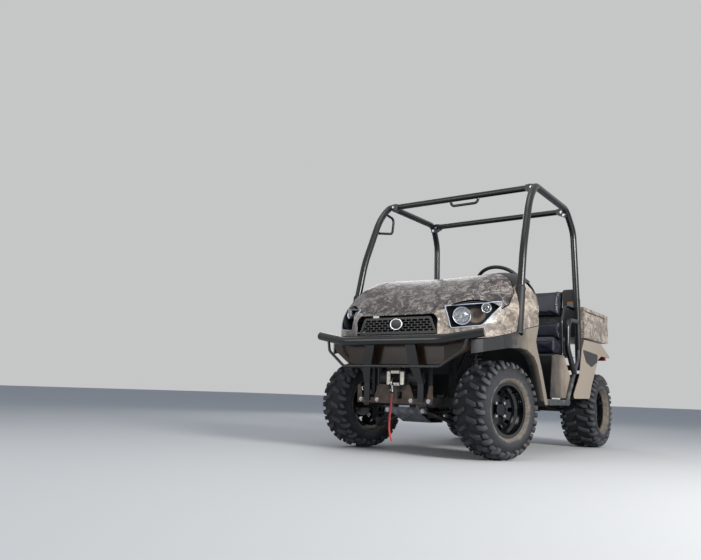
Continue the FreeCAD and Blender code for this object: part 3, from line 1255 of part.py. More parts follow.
def build_rear_drive():
    engine = block((-RAIL_IN + RUNNING_GAP, RAIL_IN - RUNNING_GAP),
        (REAR + ENGINE[0][0], REAR + ENGINE[0][1]), ENGINE[1])
    save("engine", engine)
    case = block((-110, 110), (REAR + TRANSAXLE[0][0], REAR + TRANSAXLE[0][1]), TRANSAXLE[1])
    shafts, axle = [], []
    hub_x = REAR_TRACK / 2 - HUB_FACE - RUNNING_GAP
    axle.append(rod((-CARRIER_X[0] - 2, REAR_AXLE + AXLE_TUBE_BACK, AXLE_HEIGHT),
        (CARRIER_X[0] + 2, REAR_AXLE + AXLE_TUBE_BACK, AXLE_HEIGHT), AXLE_TUBE_RADIUS))
    for side in (-1, 1):
        shaft = rod((side * 100, REAR_AXLE, 331), (side * (CARRIER_X[0] - RUNNING_GAP), REAR_AXLE,
            AXLE_HEIGHT), 12)
        boot = rod((side * (CARRIER_X[0] - 62), REAR_AXLE, AXLE_HEIGHT + 2),
            (side * (CARRIER_X[0] - 0.5), REAR_AXLE, AXLE_HEIGHT), 26)
        between = sorted((side * (110 + RUNNING_GAP), side * (CARRIER_X[0] - RUNNING_GAP)))
        shafts.append(fused([shaft, boot]).common(block(between, (REAR_AXLE - 50, REAR_AXLE + 50),
            (200, 400))))
    plate = slab("yz", [
        (REAR_AXLE - 58, 258, 20), (REAR_AXLE - 58, 342, 20), (REAR_AXLE + 124, 326, 20),
        (REAR_AXLE + 124, 274, 20),
    ], CARRIER_X)
    axle += both(fused([plate, rod((CARRIER_X[0] + 8, REAR_AXLE, AXLE_HEIGHT),
        (hub_x, REAR_AXLE, AXLE_HEIGHT), 30)]))
    save("rear_axle", fused(axle))
    save("driveline", front_drive() + [case] + shafts)
    front_eye = rod((RAIL_OUT + RUNNING_GAP, REAR + 520, 330), (RAIL_OUT + 36, REAR + 520, 330), 16)
    rear_eye = rod((CARRIER_X[0] - 24, REAR_AXLE - 42, 282),
        (CARRIER_X[0] - RUNNING_GAP, REAR_AXLE - 42, 282), 13)
    link = rod((RAIL_OUT + 20, REAR + 520, 330), (CARRIER_X[0] - 13, REAR_AXLE - 42, 282), 11)
    save("suspension_arms", both(lower_arm()) + both(fused([front_eye, rear_eye, link])))


def rear_shock():
    base = AXLE_HEIGHT + AXLE_TUBE_RADIUS + RUNNING_GAP
    top = SHOCK_TOP - RUNNING_GAP
    profile = [(0, base), (13, base), (13, base + 60), (34, base + 66)]
    coils = 8
    pitch = (top - 40 - base - 70) / coils
    for i in range(coils):
        z = base + 70 + i * pitch
        profile += [(34, z), (28, z + pitch * 0.35), (28, z + pitch * 0.6), (34, z + pitch * 0.95)]
    profile += [(34, top - 36), (16, top - 30), (16, top), (0, top)]
    face = Part.Face(Part.makePolygon([V(r, 0, z) for r, z in profile + [profile[0]]]))
    shock = face.revolve(V(0, 0, 0), Z_AXIS, 360)
    shock.translate(V(SHOCK_X, REAR_AXLE + SHOCK_BACK, 0))
    return shock


def build_exhaust():
    y = REAR + 1100
    body = rod((-170, y, 640), (170, y, 640), 52)
    feet = [block((x, x + 24), (REAR + 1122, REAR + 1146), (500 + CROSS_HALF, 612)) for x in (-80, 56)]
    pipe = tube([(-120, y + 20, 630, 0), (-120, REAR + 1225, 616, 0)], 18)
    save("muffler", fused([body, pipe] + feet))


HITCH_HALF = 31.75
HITCH_BORE = 25.4
HITCH_Z = 400.0


def build_hitch():
    end = REAR_AXLE + REAR_REACH
    face = REAR + RAIL_REAR
    plate = slab("xz", [
        (-RAIL_OUT, RAIL_LOW + KICK_RISE), (-70, RAIL_LOW + KICK_RISE), (-55, HITCH_Z - HITCH_HALF - 4),
        (55, HITCH_Z - HITCH_HALF - 4),
        (70, RAIL_LOW + KICK_RISE), (RAIL_OUT, RAIL_LOW + KICK_RISE), (RAIL_OUT, DECK_Z), (-RAIL_OUT, DECK_Z),
    ], (face, face + 8))
    socket = block((-HITCH_HALF, HITCH_HALF), (face + 4, end), (HITCH_Z - HITCH_HALF, HITCH_Z + HITCH_HALF))
    bore = block((-HITCH_BORE, HITCH_BORE), (face - 4, end + 4), (HITCH_Z - HITCH_BORE, HITCH_Z + HITCH_BORE))
    save("hitch_receiver", fused([plate, socket]).cut(bore))


def main():
    os.makedirs("parts", exist_ok=True)
    build_wheels()
    build_frame()
    build_body_mounts()
    build_floor()
    build_front_body()
    build_steering_column()
    build_steering_wheel()
    build_pedals()
    build_radiator()
    build_lower_body()
    build_cage()
    build_hip_guards()
    build_guard()
    build_winch()
    build_strap()
    build_seats()
    build_rear_body()
    build_bed()
    build_front_suspension()
    build_shock_absorbers()
    build_steering_gear()
    build_rear_drive()
    build_exhaust()
    build_hitch()


main()
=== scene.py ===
"""The looks of a compact side-by-side utility vehicle, built round its solid model, in metres.

+X is the vehicle's left, -Y is forward and +Z is up. Lengthwise places are often written from the
middle of the wheelbase, which lies at MID. The sections follow the order in which the vehicle is put
together.
"""
import json
import math

import bmesh
import bpy
from mathutils import Matrix, Vector
from mathutils.bvhtree import BVHTree

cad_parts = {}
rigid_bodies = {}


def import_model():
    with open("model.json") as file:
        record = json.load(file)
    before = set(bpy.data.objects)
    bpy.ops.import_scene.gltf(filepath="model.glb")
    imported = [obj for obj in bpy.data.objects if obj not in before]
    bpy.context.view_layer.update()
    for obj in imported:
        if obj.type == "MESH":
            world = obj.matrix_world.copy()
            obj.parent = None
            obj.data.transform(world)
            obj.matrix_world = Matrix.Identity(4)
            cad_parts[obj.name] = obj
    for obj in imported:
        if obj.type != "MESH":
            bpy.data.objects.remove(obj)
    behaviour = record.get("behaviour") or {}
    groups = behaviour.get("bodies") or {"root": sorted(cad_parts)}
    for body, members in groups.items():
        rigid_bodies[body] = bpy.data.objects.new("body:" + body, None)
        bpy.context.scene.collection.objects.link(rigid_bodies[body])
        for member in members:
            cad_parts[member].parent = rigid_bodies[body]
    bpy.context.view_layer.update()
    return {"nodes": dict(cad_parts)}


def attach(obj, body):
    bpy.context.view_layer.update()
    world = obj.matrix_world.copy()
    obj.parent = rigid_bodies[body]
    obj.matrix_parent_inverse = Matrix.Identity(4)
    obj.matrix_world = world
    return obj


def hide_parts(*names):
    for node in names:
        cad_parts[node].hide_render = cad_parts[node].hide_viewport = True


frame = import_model()
cad = frame["nodes"]
MID = 0.058


# Camera: low on the ground in front of the vehicle's left side, tipped up a little, with the field of view
# and the slight lean of the photograph.
CAMERA_PLACE = (2.251, -4.960 + MID, 0.368)
CAMERA_YAW = math.radians(35.46)
CAMERA_PITCH = math.radians(9.38)
CAMERA_ROLL = math.radians(1.97)
FOCAL_PIXELS = 684.7
PHOTO_WIDTH = 701

camera_data = bpy.data.cameras.new("camera")
camera_data.sensor_width = 36.0
camera_data.lens = FOCAL_PIXELS / PHOTO_WIDTH * camera_data.sensor_width
camera = bpy.data.objects.new("camera", camera_data)
bpy.context.scene.collection.objects.link(camera)
sight = Vector((
    -math.sin(CAMERA_YAW) * math.cos(CAMERA_PITCH), math.cos(CAMERA_YAW) * math.cos(CAMERA_PITCH),
    math.sin(CAMERA_PITCH),
))
level = Vector((math.cos(CAMERA_YAW), math.sin(CAMERA_YAW), 0.0))
upward = level.cross(sight)
right = level * math.cos(CAMERA_ROLL) + upward * math.sin(CAMERA_ROLL)
upward = upward * math.cos(CAMERA_ROLL) - level * math.sin(CAMERA_ROLL)
turned = Matrix((right, upward, -sight)).transposed().to_4x4()
camera.matrix_world = Matrix.Translation(CAMERA_PLACE) @ turned
bpy.context.scene.camera = camera


# Frame: welded box rails, cross tubes and the body's mounts. Satin black paint over plain steel, with a
# film of dried mud that lies in soft patches.
def hex_colour(code):
    """An sRGB hex colour as linear red, green, blue and alpha."""
    values = [int(code[i:i + 2], 16) / 255 for i in (0, 2, 4)]
    return [v / 12.92 if v <= 0.04045 else ((v + 0.055) / 1.055) ** 2.4 for v in values] + [1.0]


def add_node(tree, kind, inputs=None, stops=(), into=None, **settings):
    """Adds a node with its settings and links.

    inputs gives sockets their values, or the sockets or nodes that feed them, a node by its first
    output. stops gives a colour ramp its (position, hex colour) pairs, and into is the socket that the
    new node's first output feeds.
    """
    made = tree.nodes.new("ShaderNode" + kind)
    for name, value in settings.items():
        setattr(made, name, value)
    for key, value in (inputs or {}).items():
        if isinstance(value, bpy.types.Node):
            value = value.outputs[0]
        if isinstance(value, bpy.types.NodeSocket):
            tree.links.new(value, made.inputs[key])
        else:
            made.inputs[key].default_value = value
    if stops:
        elements = made.color_ramp.elements
        while len(elements) < len(stops):
            elements.new(1.0)
        for element, (position, code) in zip(elements, stops):
            element.position = position
            element.color = hex_colour(code)
    if into is not None:
        tree.links.new(made.outputs[0], into)
    return made


def shader_of(material):
    """A material's node tree, its surface shader and the coordinates of the object that carries it."""
    tree = material.node_tree
    return tree, tree.nodes["Principled BSDF"], add_node(tree, "TexCoord").outputs["Object"]


def new_material(name, base, roughness, mottle=None, grain=None, **sockets):
    """A material with its constants on the surface shader's own sockets.

    mottle gives it soft patches of colour as (size, detail, stops), and grain a raised skin as (size,
    depth, strength), with sizes in metres, both on the object's own coordinates.
    """
    material = bpy.data.materials.new(name)
    material.use_nodes = True
    tree, surface, place = shader_of(material)
    surface.inputs["Base Color"].default_value = hex_colour(base)
    surface.inputs["Roughness"].default_value = roughness
    for socket, value in sockets.items():
        surface.inputs[socket.replace("_", " ")].default_value = value
    if mottle:
        size, detail, stops = mottle
        patches = add_node(tree, "TexNoise", {"Vector": place, "Scale": 1 / size, "Detail": detail})
        add_node(tree, "ValToRGB", {"Fac": patches}, stops=stops, into=surface.inputs["Base Color"])
    if grain:
        size, depth, strength = grain
        skin = add_node(tree, "TexNoise", {"Vector": place, "Scale": 1 / size, "Detail": 4.0})
        raised = {"Height": skin, "Distance": depth, "Strength": strength}
        add_node(tree, "Bump", raised, into=surface.inputs["Normal"])
    return material


def finish(material, *names):
    """Gives the named solids of the frame their material."""
    for name in names:
        cad[name].data.materials.clear()
        cad[name].data.materials.append(material)


# Satin paint: a soft broad sheen on near black, browner where mud has dried in patches.
frame_paint = new_material(
    "satin_black_frame_paint", "131416", 0.48,
    mottle=(0.05, 6.0, [(0.35, "0e0f11"), (0.55, "191a1c"), (0.72, "403a31")]), grain=(0.004, 0.0003, 0.3),
)
finish(frame_paint, "frame_rails", "frame_cross_tubes", "body_mounts", "hitch_receiver")


# Front sub-frame: the plate and bars under the nose that carry the lower arms, welded steel in blue-grey
# paint, rubbed thin from below, with bright plated bolts through the arms' pivots.
def new_object(name, mesh, material, smooth=40.0):
    """An object at the origin from a finished bmesh, smooth across edges flatter than the angle."""
    data = bpy.data.meshes.new(name)
    mesh.to_mesh(data)
    mesh.free()
    made = bpy.data.objects.new(name, data)
    bpy.context.scene.collection.objects.link(made)
    data.materials.append(material)
    if smooth:
        data.shade_smooth()
        data.set_sharp_from_angle(angle=math.radians(smooth))
    return made


def fitted(piece, body, replaced=None):
    """Fixes a finished piece to its body, and hides the solid that it stands for."""
    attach(piece, body)
    if replaced:
        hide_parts(replaced)
    return piece


def bolt_heads(name, places, axis, radius, material):
    """Six-sided heads on round washers, each pointing along the axis."""
    mesh = bmesh.new()
    turn = Vector(axis).to_track_quat("Z", "Y").to_matrix().to_4x4()
    for place in places:
        for sides, wide, low, high in ((20, 1.5, -0.1, 0.22), (6, 1.08, 0.2, 0.95)):
            seat = Matrix.Translation(place) @ turn @ Matrix.Translation((0, 0, radius * (low + high) / 2))
            bmesh.ops.create_cone(
                mesh, cap_ends=True, segments=sides, radius1=radius * wide, radius2=radius * wide * 0.92,
                depth=radius * (high - low), matrix=seat,
            )
    return fitted(new_object(name, mesh, material, 30.0), "chassis")


# Thin rubbed paint: cloudy light and dark patches, 30 mm across.
grey_paint = new_material(
    "polished_grey_plate_paint", "56585d", 0.4,
    mottle=(0.03, 7.0, [(0.35, "3b3d42"), (0.55, "5d6068"), (0.7, "787a80")]),
)
finish(grey_paint, "arm_brackets")

# Zinc plating: a bright, faintly cloudy mirror. Its crystals are drawn at 6 mm, coarse enough to show.
zinc_plate = new_material(
    "bright_zinc_plate", "c9ccd0", 0.24,
    mottle=(0.006, 5.0, [(0.3, "b9bcc0"), (0.6, "cdd0d4"), (0.8, "d6d8da")]), grain=(0.002, 0.0002, 0.2),
    Metallic=0.9,
)
pivot_places = [(side * 0.128, MID - 1.1605, 0.274) for side in (-1, 1)]
bolt_heads("arm_pivot_bolts", pivot_places, (0, -1, 0), 0.010, zinc_plate)


# Lower arms, knuckles, tie rod and driveline: forgings and castings in dull dark iron, bolted up through
# the plates above. Soil lies on them in brown speckles.
# Sand-cast iron: a dull metal with a grain drawn at 3 mm, coarse enough to show, and brown soil on it.
cast_iron = new_material(
    "dark_cast_iron", "26272a", 0.55,
    mottle=(0.03, 7.0, [(0.35, "191a1c"), (0.55, "2b2c2e"), (0.72, "544b3f")]), grain=(0.003, 0.0006, 0.5),
    Metallic=0.35,
)
finish(cast_iron, "suspension_arms", "knuckle_left", "knuckle_right", "tie_rod", "driveline", "rear_axle")


# Struts and shock absorbers: steel damper tubes with a wound spring on each, black enamel on both; the
# front ones stand in the knuckles, the rear ones between the axle tube and their towers.
def lathed(points, steps, axis=(1, 0, 0), closed=True):
    """A bmesh spun once round the X or Z axis from (along, radius) points."""
    mesh = bmesh.new()
    upright = axis[2] > 0
    line = [
        mesh.verts.new((radius, 0.0, along) if upright else (along, 0.0, radius)) for along, radius in points
    ]
    edges = [mesh.edges.new(pair) for pair in zip(line, line[1:])]
    if closed:
        edges.append(mesh.edges.new((line[-1], line[0])))
    bmesh.ops.spin(
        mesh, geom=line + edges, cent=(0, 0, 0), axis=axis, angle=math.tau, steps=steps, use_merge=True,
        use_duplicate=False,
    )
    bmesh.ops.remove_doubles(mesh, verts=mesh.verts, dist=1e-5)
    bmesh.ops.recalc_face_normals(mesh, faces=mesh.faces)
    return mesh


def joined(meshes):
    """One bmesh from several, each freed."""
    whole = bmesh.new()
    for mesh in meshes:
        scrap = bpy.data.meshes.new("scrap")
        mesh.to_mesh(scrap)
        whole.from_mesh(scrap)
        bpy.data.meshes.remove(scrap)
        mesh.free()
    return whole


def bar_along(points, radius, closed=False, sides=4):
    """A round bar that follows points, as a bmesh."""
    course = bpy.data.curves.new("course", "CURVE")
    course.dimensions = "3D"
    course.bevel_depth = radius
    course.bevel_resolution = sides
    course.use_fill_caps = not closed
    spline = course.splines.new("POLY")
    spline.points.add(len(points) - 1)
    for point, place in zip(spline.points, points):
        point.co = (*place, 1.0)
    spline.use_cyclic_u = closed
    holder = bpy.data.objects.new("course", course)
    swept = bpy.data.meshes.new_from_object(holder)
    mesh = bmesh.new()
    mesh.from_mesh(swept)
    bmesh.ops.remove_doubles(mesh, verts=mesh.verts, dist=1e-6)
    bmesh.ops.recalc_face_normals(mesh, faces=mesh.faces)
    for block, owner in ((holder, bpy.data.objects), (course, bpy.data.curves), (swept, bpy.data.meshes)):
        owner.remove(block)
    return mesh


AXLES = (-0.8445, 0.9605)
SHOCKS = [
    # x, y, damper line as (z, radius), spring's low z, high z, radius, wire, turns
    (
        0.360, AXLES[0], [
            (0.380, 0.0), (0.380, 0.022), (0.606, 0.022), (0.606, 0.046), (0.612, 0.046), (0.612, 0.014),
            (0.738, 0.014), (0.738, 0.046), (0.7448, 0.030), (0.7448, 0.0),
        ], 0.616, 0.734, 0.040, 0.0052, 5,
    ),
    (
        0.312, AXLES[1] + 0.095, [
            (0.3253, 0.0), (0.3253, 0.013), (0.386, 0.013), (0.386, 0.034), (0.392, 0.034), (0.392, 0.020),
            (0.500, 0.020), (0.500, 0.008), (0.604, 0.008), (0.604, 0.034), (0.610, 0.016), (0.6397, 0.016),
            (0.6397, 0.0),
        ], 0.396, 0.600, 0.029, 0.0045, 8,
    ),
]
# Enamel: a clear highlight on black, under a little road dust.
damper_enamel = new_material(
    "black_damper_enamel", "1b1c20", 0.3,
    mottle=(0.02, 6.0, [(0.35, "16171a"), (0.6, "202125"), (0.78, "3a362f")]), grain=(0.003, 0.0002, 0.2),
    Coat_Weight=0.3,
)
dampers, springs = [], []
for x, y, line, low, high, radius, wire, turns in SHOCKS:
    for side in (-1, 1):
        damper = lathed(line, 28, axis=(0, 0, 1), closed=False)
        damper.transform(Matrix.Translation((side * x, y, 0)))
        dampers.append(damper)
        steps = turns * 20
        coil = [
            (
                side * x + radius * math.cos(math.tau * turns * i / steps),
                y + radius * math.sin(math.tau * turns * i / steps),
                low + (high - low) * i / steps,
            ) for i in range(steps + 1)
        ]
        springs.append(bar_along(coil, wire, sides=2))
fitted(
    new_object("damper_tubes", joined(dampers), damper_enamel), "chassis", "shock_absorbers",
)
fitted(new_object("coil_springs", joined(springs), damper_enamel), "chassis")


# Wheels: pressed steel rims in gloss black, each held on four studs by plated nuts. A rubber valve stem
# stands in the rim beside them.
# Wet-looking enamel over pressed steel: sharp highlights that waver a little with the pressing.
rim_paint = new_material(
    "gloss_black_rim_paint", "0c0d10", 0.2, grain=(0.012, 0.0002, 0.1), Coat_Weight=0.6,
    Coat_Roughness=0.06,
)
AXLE_HEIGHT = 0.300
STEER_REST = math.radians(-15.0)
KINGPIN_X = 0.360
STUD_CIRCLE = 0.055


def wheel_matrix(side, axle, half_track, steered):
    """Turns a wheel's outer side out, moves it to its hub and turns it about its kingpin."""
    matrix = Matrix.Translation((side * half_track, axle, AXLE_HEIGHT)) @ Matrix.Scale(side, 4, (1, 0, 0))
    if steered:
        pin = Vector((side * KINGPIN_X, axle, 0))
        turn = Matrix.Rotation(STEER_REST, 4, "Z")
        matrix = Matrix.Translation(pin) @ turn @ Matrix.Translation(-pin) @ matrix
    return matrix


WHEELS = [
    # name, side, axle, half track, half width of the tyre, steered
    ("front_left", 1, AXLES[0], 0.530, 0.120, True), ("front_right", -1, AXLES[0], 0.530, 0.120, True),
    ("rear_left", 1, AXLES[1], 0.525, 0.142, False), ("rear_right", -1, AXLES[1], 0.525, 0.142, False),
]
# Moulded rubber: dull, with a pebbled skin drawn at 1.5 mm.
valve_rubber = new_material("valve_stem_rubber", "151517", 0.6, grain=(0.0015, 0.0002, 0.3))
# Both lines are (outward from the wheel's middle, radius).
NUT_LINE = [(0.0237, 0.0), (0.0237, 0.0125), (0.030, 0.0118), (0.036, 0.0095), (0.0385, 0.005), (0.0385, 0.0)]
STEM_LINE = [(0.045, 0.0), (0.045, 0.006), (0.062, 0.0045), (0.078, 0.004), (0.080, 0.003), (0.080, 0.0)]
STEM_PLACE = (0, 0.101, 0.101)
for name, side, axle, half_track, half_width, steered in WHEELS:
    finish(rim_paint, "rim_" + name)
    place = wheel_matrix(side, axle, half_track, steered)
    nuts = []
    for i in range(4):
        nut = lathed(NUT_LINE, 6, closed=False)
        angle = math.radians(45 + 90 * i)
        stud = (0, STUD_CIRCLE * math.sin(angle), STUD_CIRCLE * math.cos(angle))
        nut.transform(place @ Matrix.Translation(stud))
        nuts.append(nut)
    heads = joined(nuts)
    bmesh.ops.recalc_face_normals(heads, faces=heads.faces)
    fitted(new_object("wheel_nuts_" + name, heads, zinc_plate, 25.0), "wheel_" + name)
    stem = lathed(STEM_LINE, 14, closed=False)
    stem.transform(place @ Matrix.Translation(STEM_PLACE))
    bmesh.ops.recalc_face_normals(stem, faces=stem.faces)
    fitted(new_object("valve_stem_" + name, stem, valve_rubber), "wheel_" + name)


# Tyres: low-pressure rubber over a round-shouldered carcass, with two rows of deep slanted lugs. Dull
# grey-black, with a tan ring over the beads and more tan on the lugs' edges, partly dust and partly painted
# sunlight.
TYRE_RADIUS = 0.300
LUG_DEPTH = 0.018
LUG_STEPS = 18
LUG_PITCH = math.tau / LUG_STEPS
SHOULDER = 0.050
SHOULDER_BEND = math.radians(72)
SHOULDER_INSET = 0.052
CROWN_DROP = 0.006
LUG_SPAN = 0.1152
LUG_SINK = 0.003
# Each lug is an outline in (round the tyre, across the tread), for the +X half of a tread 2 * LUG_SPAN wide.
LUGS = [
    [(-0.014, 0.004), (0.012, 0.004), (0.040, 0.052), (0.036, 0.072), (0.014, 0.066), (0.006, 0.046)],
    [(0.044, 0.060), (0.072, 0.064), (0.088, 0.100), (0.086, 0.128), (0.058, 0.126), (0.056, 0.100)],
    [(0.004, 0.080), (0.030, 0.086), (0.040, 0.108), (0.038, 0.116), (0.014, 0.112), (0.004, 0.100)],
]


def rounded_line(points, steps=6, ring=False):
    """The (a, b, radius) corners of a line, or of a closed ring, as points along its rounded course."""
    course = []
    for i, corner in enumerate(points):
        here = Vector(corner[:2])
        radius = corner[2] if len(corner) > 2 else 0.0
        if radius <= 0 or (not ring and i in (0, len(points) - 1)):
            course.append(tuple(here))
            continue
        back = (Vector(points[i - 1][:2]) - here).normalized()
        ahead = (Vector(points[(i + 1) % len(points)][:2]) - here).normalized()
        half = back.angle(ahead) / 2
        start, end = here + back * radius / math.tan(half), here + ahead * radius / math.tan(half)
        middle = here + (back + ahead).normalized() * radius / math.sin(half)
        first = start - middle
        turn = first.angle_signed(end - middle)
        for step in range(steps + 1):
            course.append(tuple(middle + Matrix.Rotation(-turn * step / steps, 2) @ first))
    return course


def tread_place(across, half_width, height):
    """Where a tread point lies: across runs along the tread from its middle, height from the lugs' tips."""
    side = math.copysign(1.0, across)
    flat = half_width - SHOULDER_INSET
    reach = abs(across)
    if reach <= flat:
        return side * reach, TYRE_RADIUS - CROWN_DROP * (reach / flat) ** 2 + height
    angle = min((reach - flat) / SHOULDER, SHOULDER_BEND)
    down = max(reach - flat - SHOULDER * SHOULDER_BEND, 0.0)
    x = flat + (SHOULDER + height) * math.sin(angle) + down * math.cos(SHOULDER_BEND)
    rise = (SHOULDER + height) * math.cos(angle) - down * math.sin(SHOULDER_BEND)
    radius = TYRE_RADIUS - CROWN_DROP - SHOULDER + rise
    return side * x, radius


def tyre_mesh(half_width):
    """A tyre about its own centre, its outer side towards +X."""
    reach = half_width - SHOULDER_INSET + SHOULDER * SHOULDER_BEND
    crown = [tread_place(reach * step / 14, half_width, -LUG_DEPTH) for step in range(15)]
    wall = [
        (0.0897, 0.1705, 0.004), (half_width - 0.012, 0.180, 0.02), (half_width - 0.004, 0.214, 0.03),
        crown[-1],
    ]
    outside = [(0.0877, 0.1523), (0.0877, 0.170)] + rounded_line(wall, 5) + crown[::-1][1:]
    inside = [(0.0, TYRE_RADIUS - 0.034), (half_width - 0.03, 0.228), (0.0677, 0.180), (0.0657, 0.1523)]
    half_line = inside + outside
    whole = half_line + [(-x, radius) for x, radius in reversed(half_line)]
    line = [whole[0]]
    for point in whole[1:]:
        if (Vector(point) - Vector(line[-1])).length > 1e-5:
            line.append(point)
    if (Vector(line[0]) - Vector(line[-1])).length < 1e-5:
        line.pop()
    return lathed(line, 96)


def lug_ring(half_width):
    """All lugs of one tyre: each outline is raised and bevelled, then wrapped round the tyre step by step."""
    stretch = (half_width - SHOULDER_INSET + SHOULDER * SHOULDER_BEND) / LUG_SPAN
    copies = []
    for outline in LUGS:
        lug = bmesh.new()
        sole = [lug.verts.new((u, v * stretch * 0.98, -LUG_DEPTH - LUG_SINK)) for u, v in outline]
        face = lug.faces.new(sole)
        raised = bmesh.ops.extrude_face_region(lug, geom=[face])
        tops = [v for v in raised["geom"] if isinstance(v, bmesh.types.BMVert)]
        bmesh.ops.translate(lug, verts=tops, vec=(0, 0, LUG_DEPTH + LUG_SINK))
        middle = sum((v.co for v in tops), Vector()) / len(tops)
        narrow = Matrix.Diagonal((0.90, 0.94, 1.0, 1.0))
        bmesh.ops.transform(lug, matrix=narrow, verts=tops, space=Matrix.Translation(-middle))
        edges = [e for e in lug.edges if e.verts[0] in tops or e.verts[1] in tops]
        bmesh.ops.bevel(lug, geom=edges, offset=0.0022, segments=2, profile=0.5, affect="EDGES", material=-1)
        for share in (0.25, 0.5, 0.75):
            low, high = min(p[1] for p in outline) * stretch, max(p[1] for p in outline) * stretch
            bmesh.ops.bisect_plane(
                lug, geom=lug.verts[:] + lug.edges[:] + lug.faces[:],
                plane_co=(0, low + (high - low) * share, 0), plane_no=(0, 1, 0),
            )
        bmesh.ops.triangulate(lug, faces=[f for f in lug.faces if len(f.verts) > 4])
        for side, shift in ((1, 0.0), (-1, LUG_PITCH / 2)):
            for step in range(LUG_STEPS):
                copy = lug.copy()
                for vert in copy.verts:
                    angle = vert.co.x / TYRE_RADIUS + shift + step * LUG_PITCH
                    x, radius = tread_place(side * max(vert.co.y, 1e-6), half_width, vert.co.z)
                    vert.co = (x, -radius * math.sin(angle), radius * math.cos(angle))
                copies.append(copy)
        lug.free()
    ring = joined(copies)
    bmesh.ops.recalc_face_normals(ring, faces=ring.faces)
    return ring


def tyre_rubber(name, centre, turn, stops):
    """Tread rubber whose tan, of dust and painted sunlight, lies in rings round the wheel's own axis."""
    material = new_material(name, "2a2a2b", 0.78)
    tree, surface, place = shader_of(material)
    local = add_node(tree, "Mapping", {
        "Vector": place, "Location": centre, "Rotation": (0, 0, turn),
    }, vector_type="TEXTURE")
    flat = add_node(tree, "VectorMath", {0: local, 1: (0, 1, 1)}, operation="MULTIPLY")
    radius = add_node(tree, "VectorMath", {0: flat}, operation="LENGTH")
    mottle = add_node(tree, "TexNoise", {
        "Vector": place, "Scale": 1 / 0.045, "Detail": 6.0, "Roughness": 0.65,
    })
    shifted = add_node(tree, "Math", {
        0: mottle, 1: 0.05, 2: radius.outputs["Value"],
    }, operation="MULTIPLY_ADD")
    share = add_node(tree, "MapRange", {"Value": shifted, "From Min": 0.180, "From Max": 0.320})
    rings = add_node(tree, "ValToRGB", {"Fac": share}, stops=stops)
    fine = add_node(tree, "TexNoise", {"Vector": place, "Scale": 1 / 0.012, "Detail": 6.0})
    speckle = add_node(tree, "MapRange", {
        "Value": fine, "From Min": 0.3, "From Max": 0.7, "To Min": 0.72, "To Max": 1.2,
    })
    add_node(tree, "VectorMath", {
        0: rings, "Scale": speckle,
    }, operation="SCALE", into=surface.inputs["Base Color"])
    add_node(tree, "Bump", {
        "Height": fine, "Distance": 0.0012, "Strength": 0.5,
    }, into=surface.inputs["Normal"])
    return material


# The tan in these ramps is partly dust and partly painted sunlight on the black rubber.
CARCASS_DUST_AND_SUNLIGHT = [
    (0.0, "4c4741"), (0.10, "857a6b"), (0.20, "6b645b"), (0.30, "35363a"), (0.55, "26272b"),
    (0.72, "141517"),
]
LUG_DUST_AND_SUNLIGHT = [(0.30, "5f5a52"), (0.66, "5a564f"), (0.80, "46474b"), (0.92, "3c3e43"), (1.0, "303237")]
for name, side, axle, half_track, half_width, steered in WHEELS:
    place = wheel_matrix(side, axle, half_track, steered)
    for part, mesh, stops in (
        ("carcass", tyre_mesh(half_width), CARCASS_DUST_AND_SUNLIGHT), ("lugs", lug_ring(half_width), LUG_DUST_AND_SUNLIGHT),
    ):
        rubber = tyre_rubber(
            "tyre_rubber_" + part + name, place.to_translation(), STEER_REST if steered else 0.0, stops,
        )
        mesh.transform(place)
        bmesh.ops.recalc_face_normals(mesh, faces=mesh.faces)
        piece = new_object("tyre_" + part + "_" + name, mesh, rubber, 35.0 if part == "lugs" else 50.0)
        fitted(piece, "wheel_" + name, "tyre_" + name if part == "carcass" else None)


# Engine, cooler and exhaust: one cast block behind the seat, a finned core under the nose and a muffler of
# bare steel that heat has turned straw and blue.
# Sand-cast aluminium: a pale grey metal, roughened by a grain drawn at 2 mm.
engine_alloy = new_material("cast_engine_alloy", "8a8b8c", 0.5, grain=(0.002, 0.0006, 0.5), Metallic=0.9)
finish(engine_alloy, "engine")

# Heated bare steel: a metal sheen in straw and blue-grey clouds, 50 mm across.
pipe_steel = new_material(
    "heat_stained_exhaust_steel", "7c746a", 0.42,
    mottle=(0.05, 4.0, [(0.3, "5d5348"), (0.5, "857a6b"), (0.7, "6c6a70")]), Metallic=0.9,
)
finish(pipe_steel, "muffler")

# Thin alloy fins: fine level lines of light. They are drawn 5 mm apart, coarser than real, to show.
# A wave texture of scale 1 repeats after WAVE_LENGTH metres.
WAVE_LENGTH = math.tau / 20
core_alloy = new_material("finned_cooler_core", "3b3c3f", 0.5, Metallic=0.7)
tree, surface, place = shader_of(core_alloy)
fins = add_node(tree, "TexWave", {"Vector": place, "Scale": WAVE_LENGTH / 0.00524}, bands_direction="Z")
add_node(tree, "Bump", {
    "Height": fins.outputs["Fac"], "Distance": 0.002, "Strength": 0.8,
}, into=surface.inputs["Normal"])
finish(core_alloy, "radiator")


# Floor, seat box and steps: moulded black polypropylene with a fine leather grain. Boots leave it greyer
# on top, and the step tubes are worn to a dusty grey.
# Moulded polypropylene: a wide soft sheen, broken by a leather grain of 1.6 mm.
black_plastic = new_material(
    "moulded_black_polypropylene", "101114", 0.4,
    mottle=(0.09, 5.0, [(0.35, "0c0d10"), (0.55, "131417"), (0.75, "1d1c1b")]), grain=(0.0016, 0.0003, 0.3),
)
finish(black_plastic, "floor_pan", "seat_box", "dashboard", "side_guards")

# The same plastic where boots scuff it: greyer, with dust in the scratches.
step_plastic = new_material(
    "scuffed_grey_black_step_plastic", "3a3a3c", 0.5,
    mottle=(0.05, 6.0, [(0.3, "26272a"), (0.52, "3d3e42"), (0.72, "6b645a")]), grain=(0.0016, 0.0004, 0.4),
)
finish(step_plastic, "step_rails")
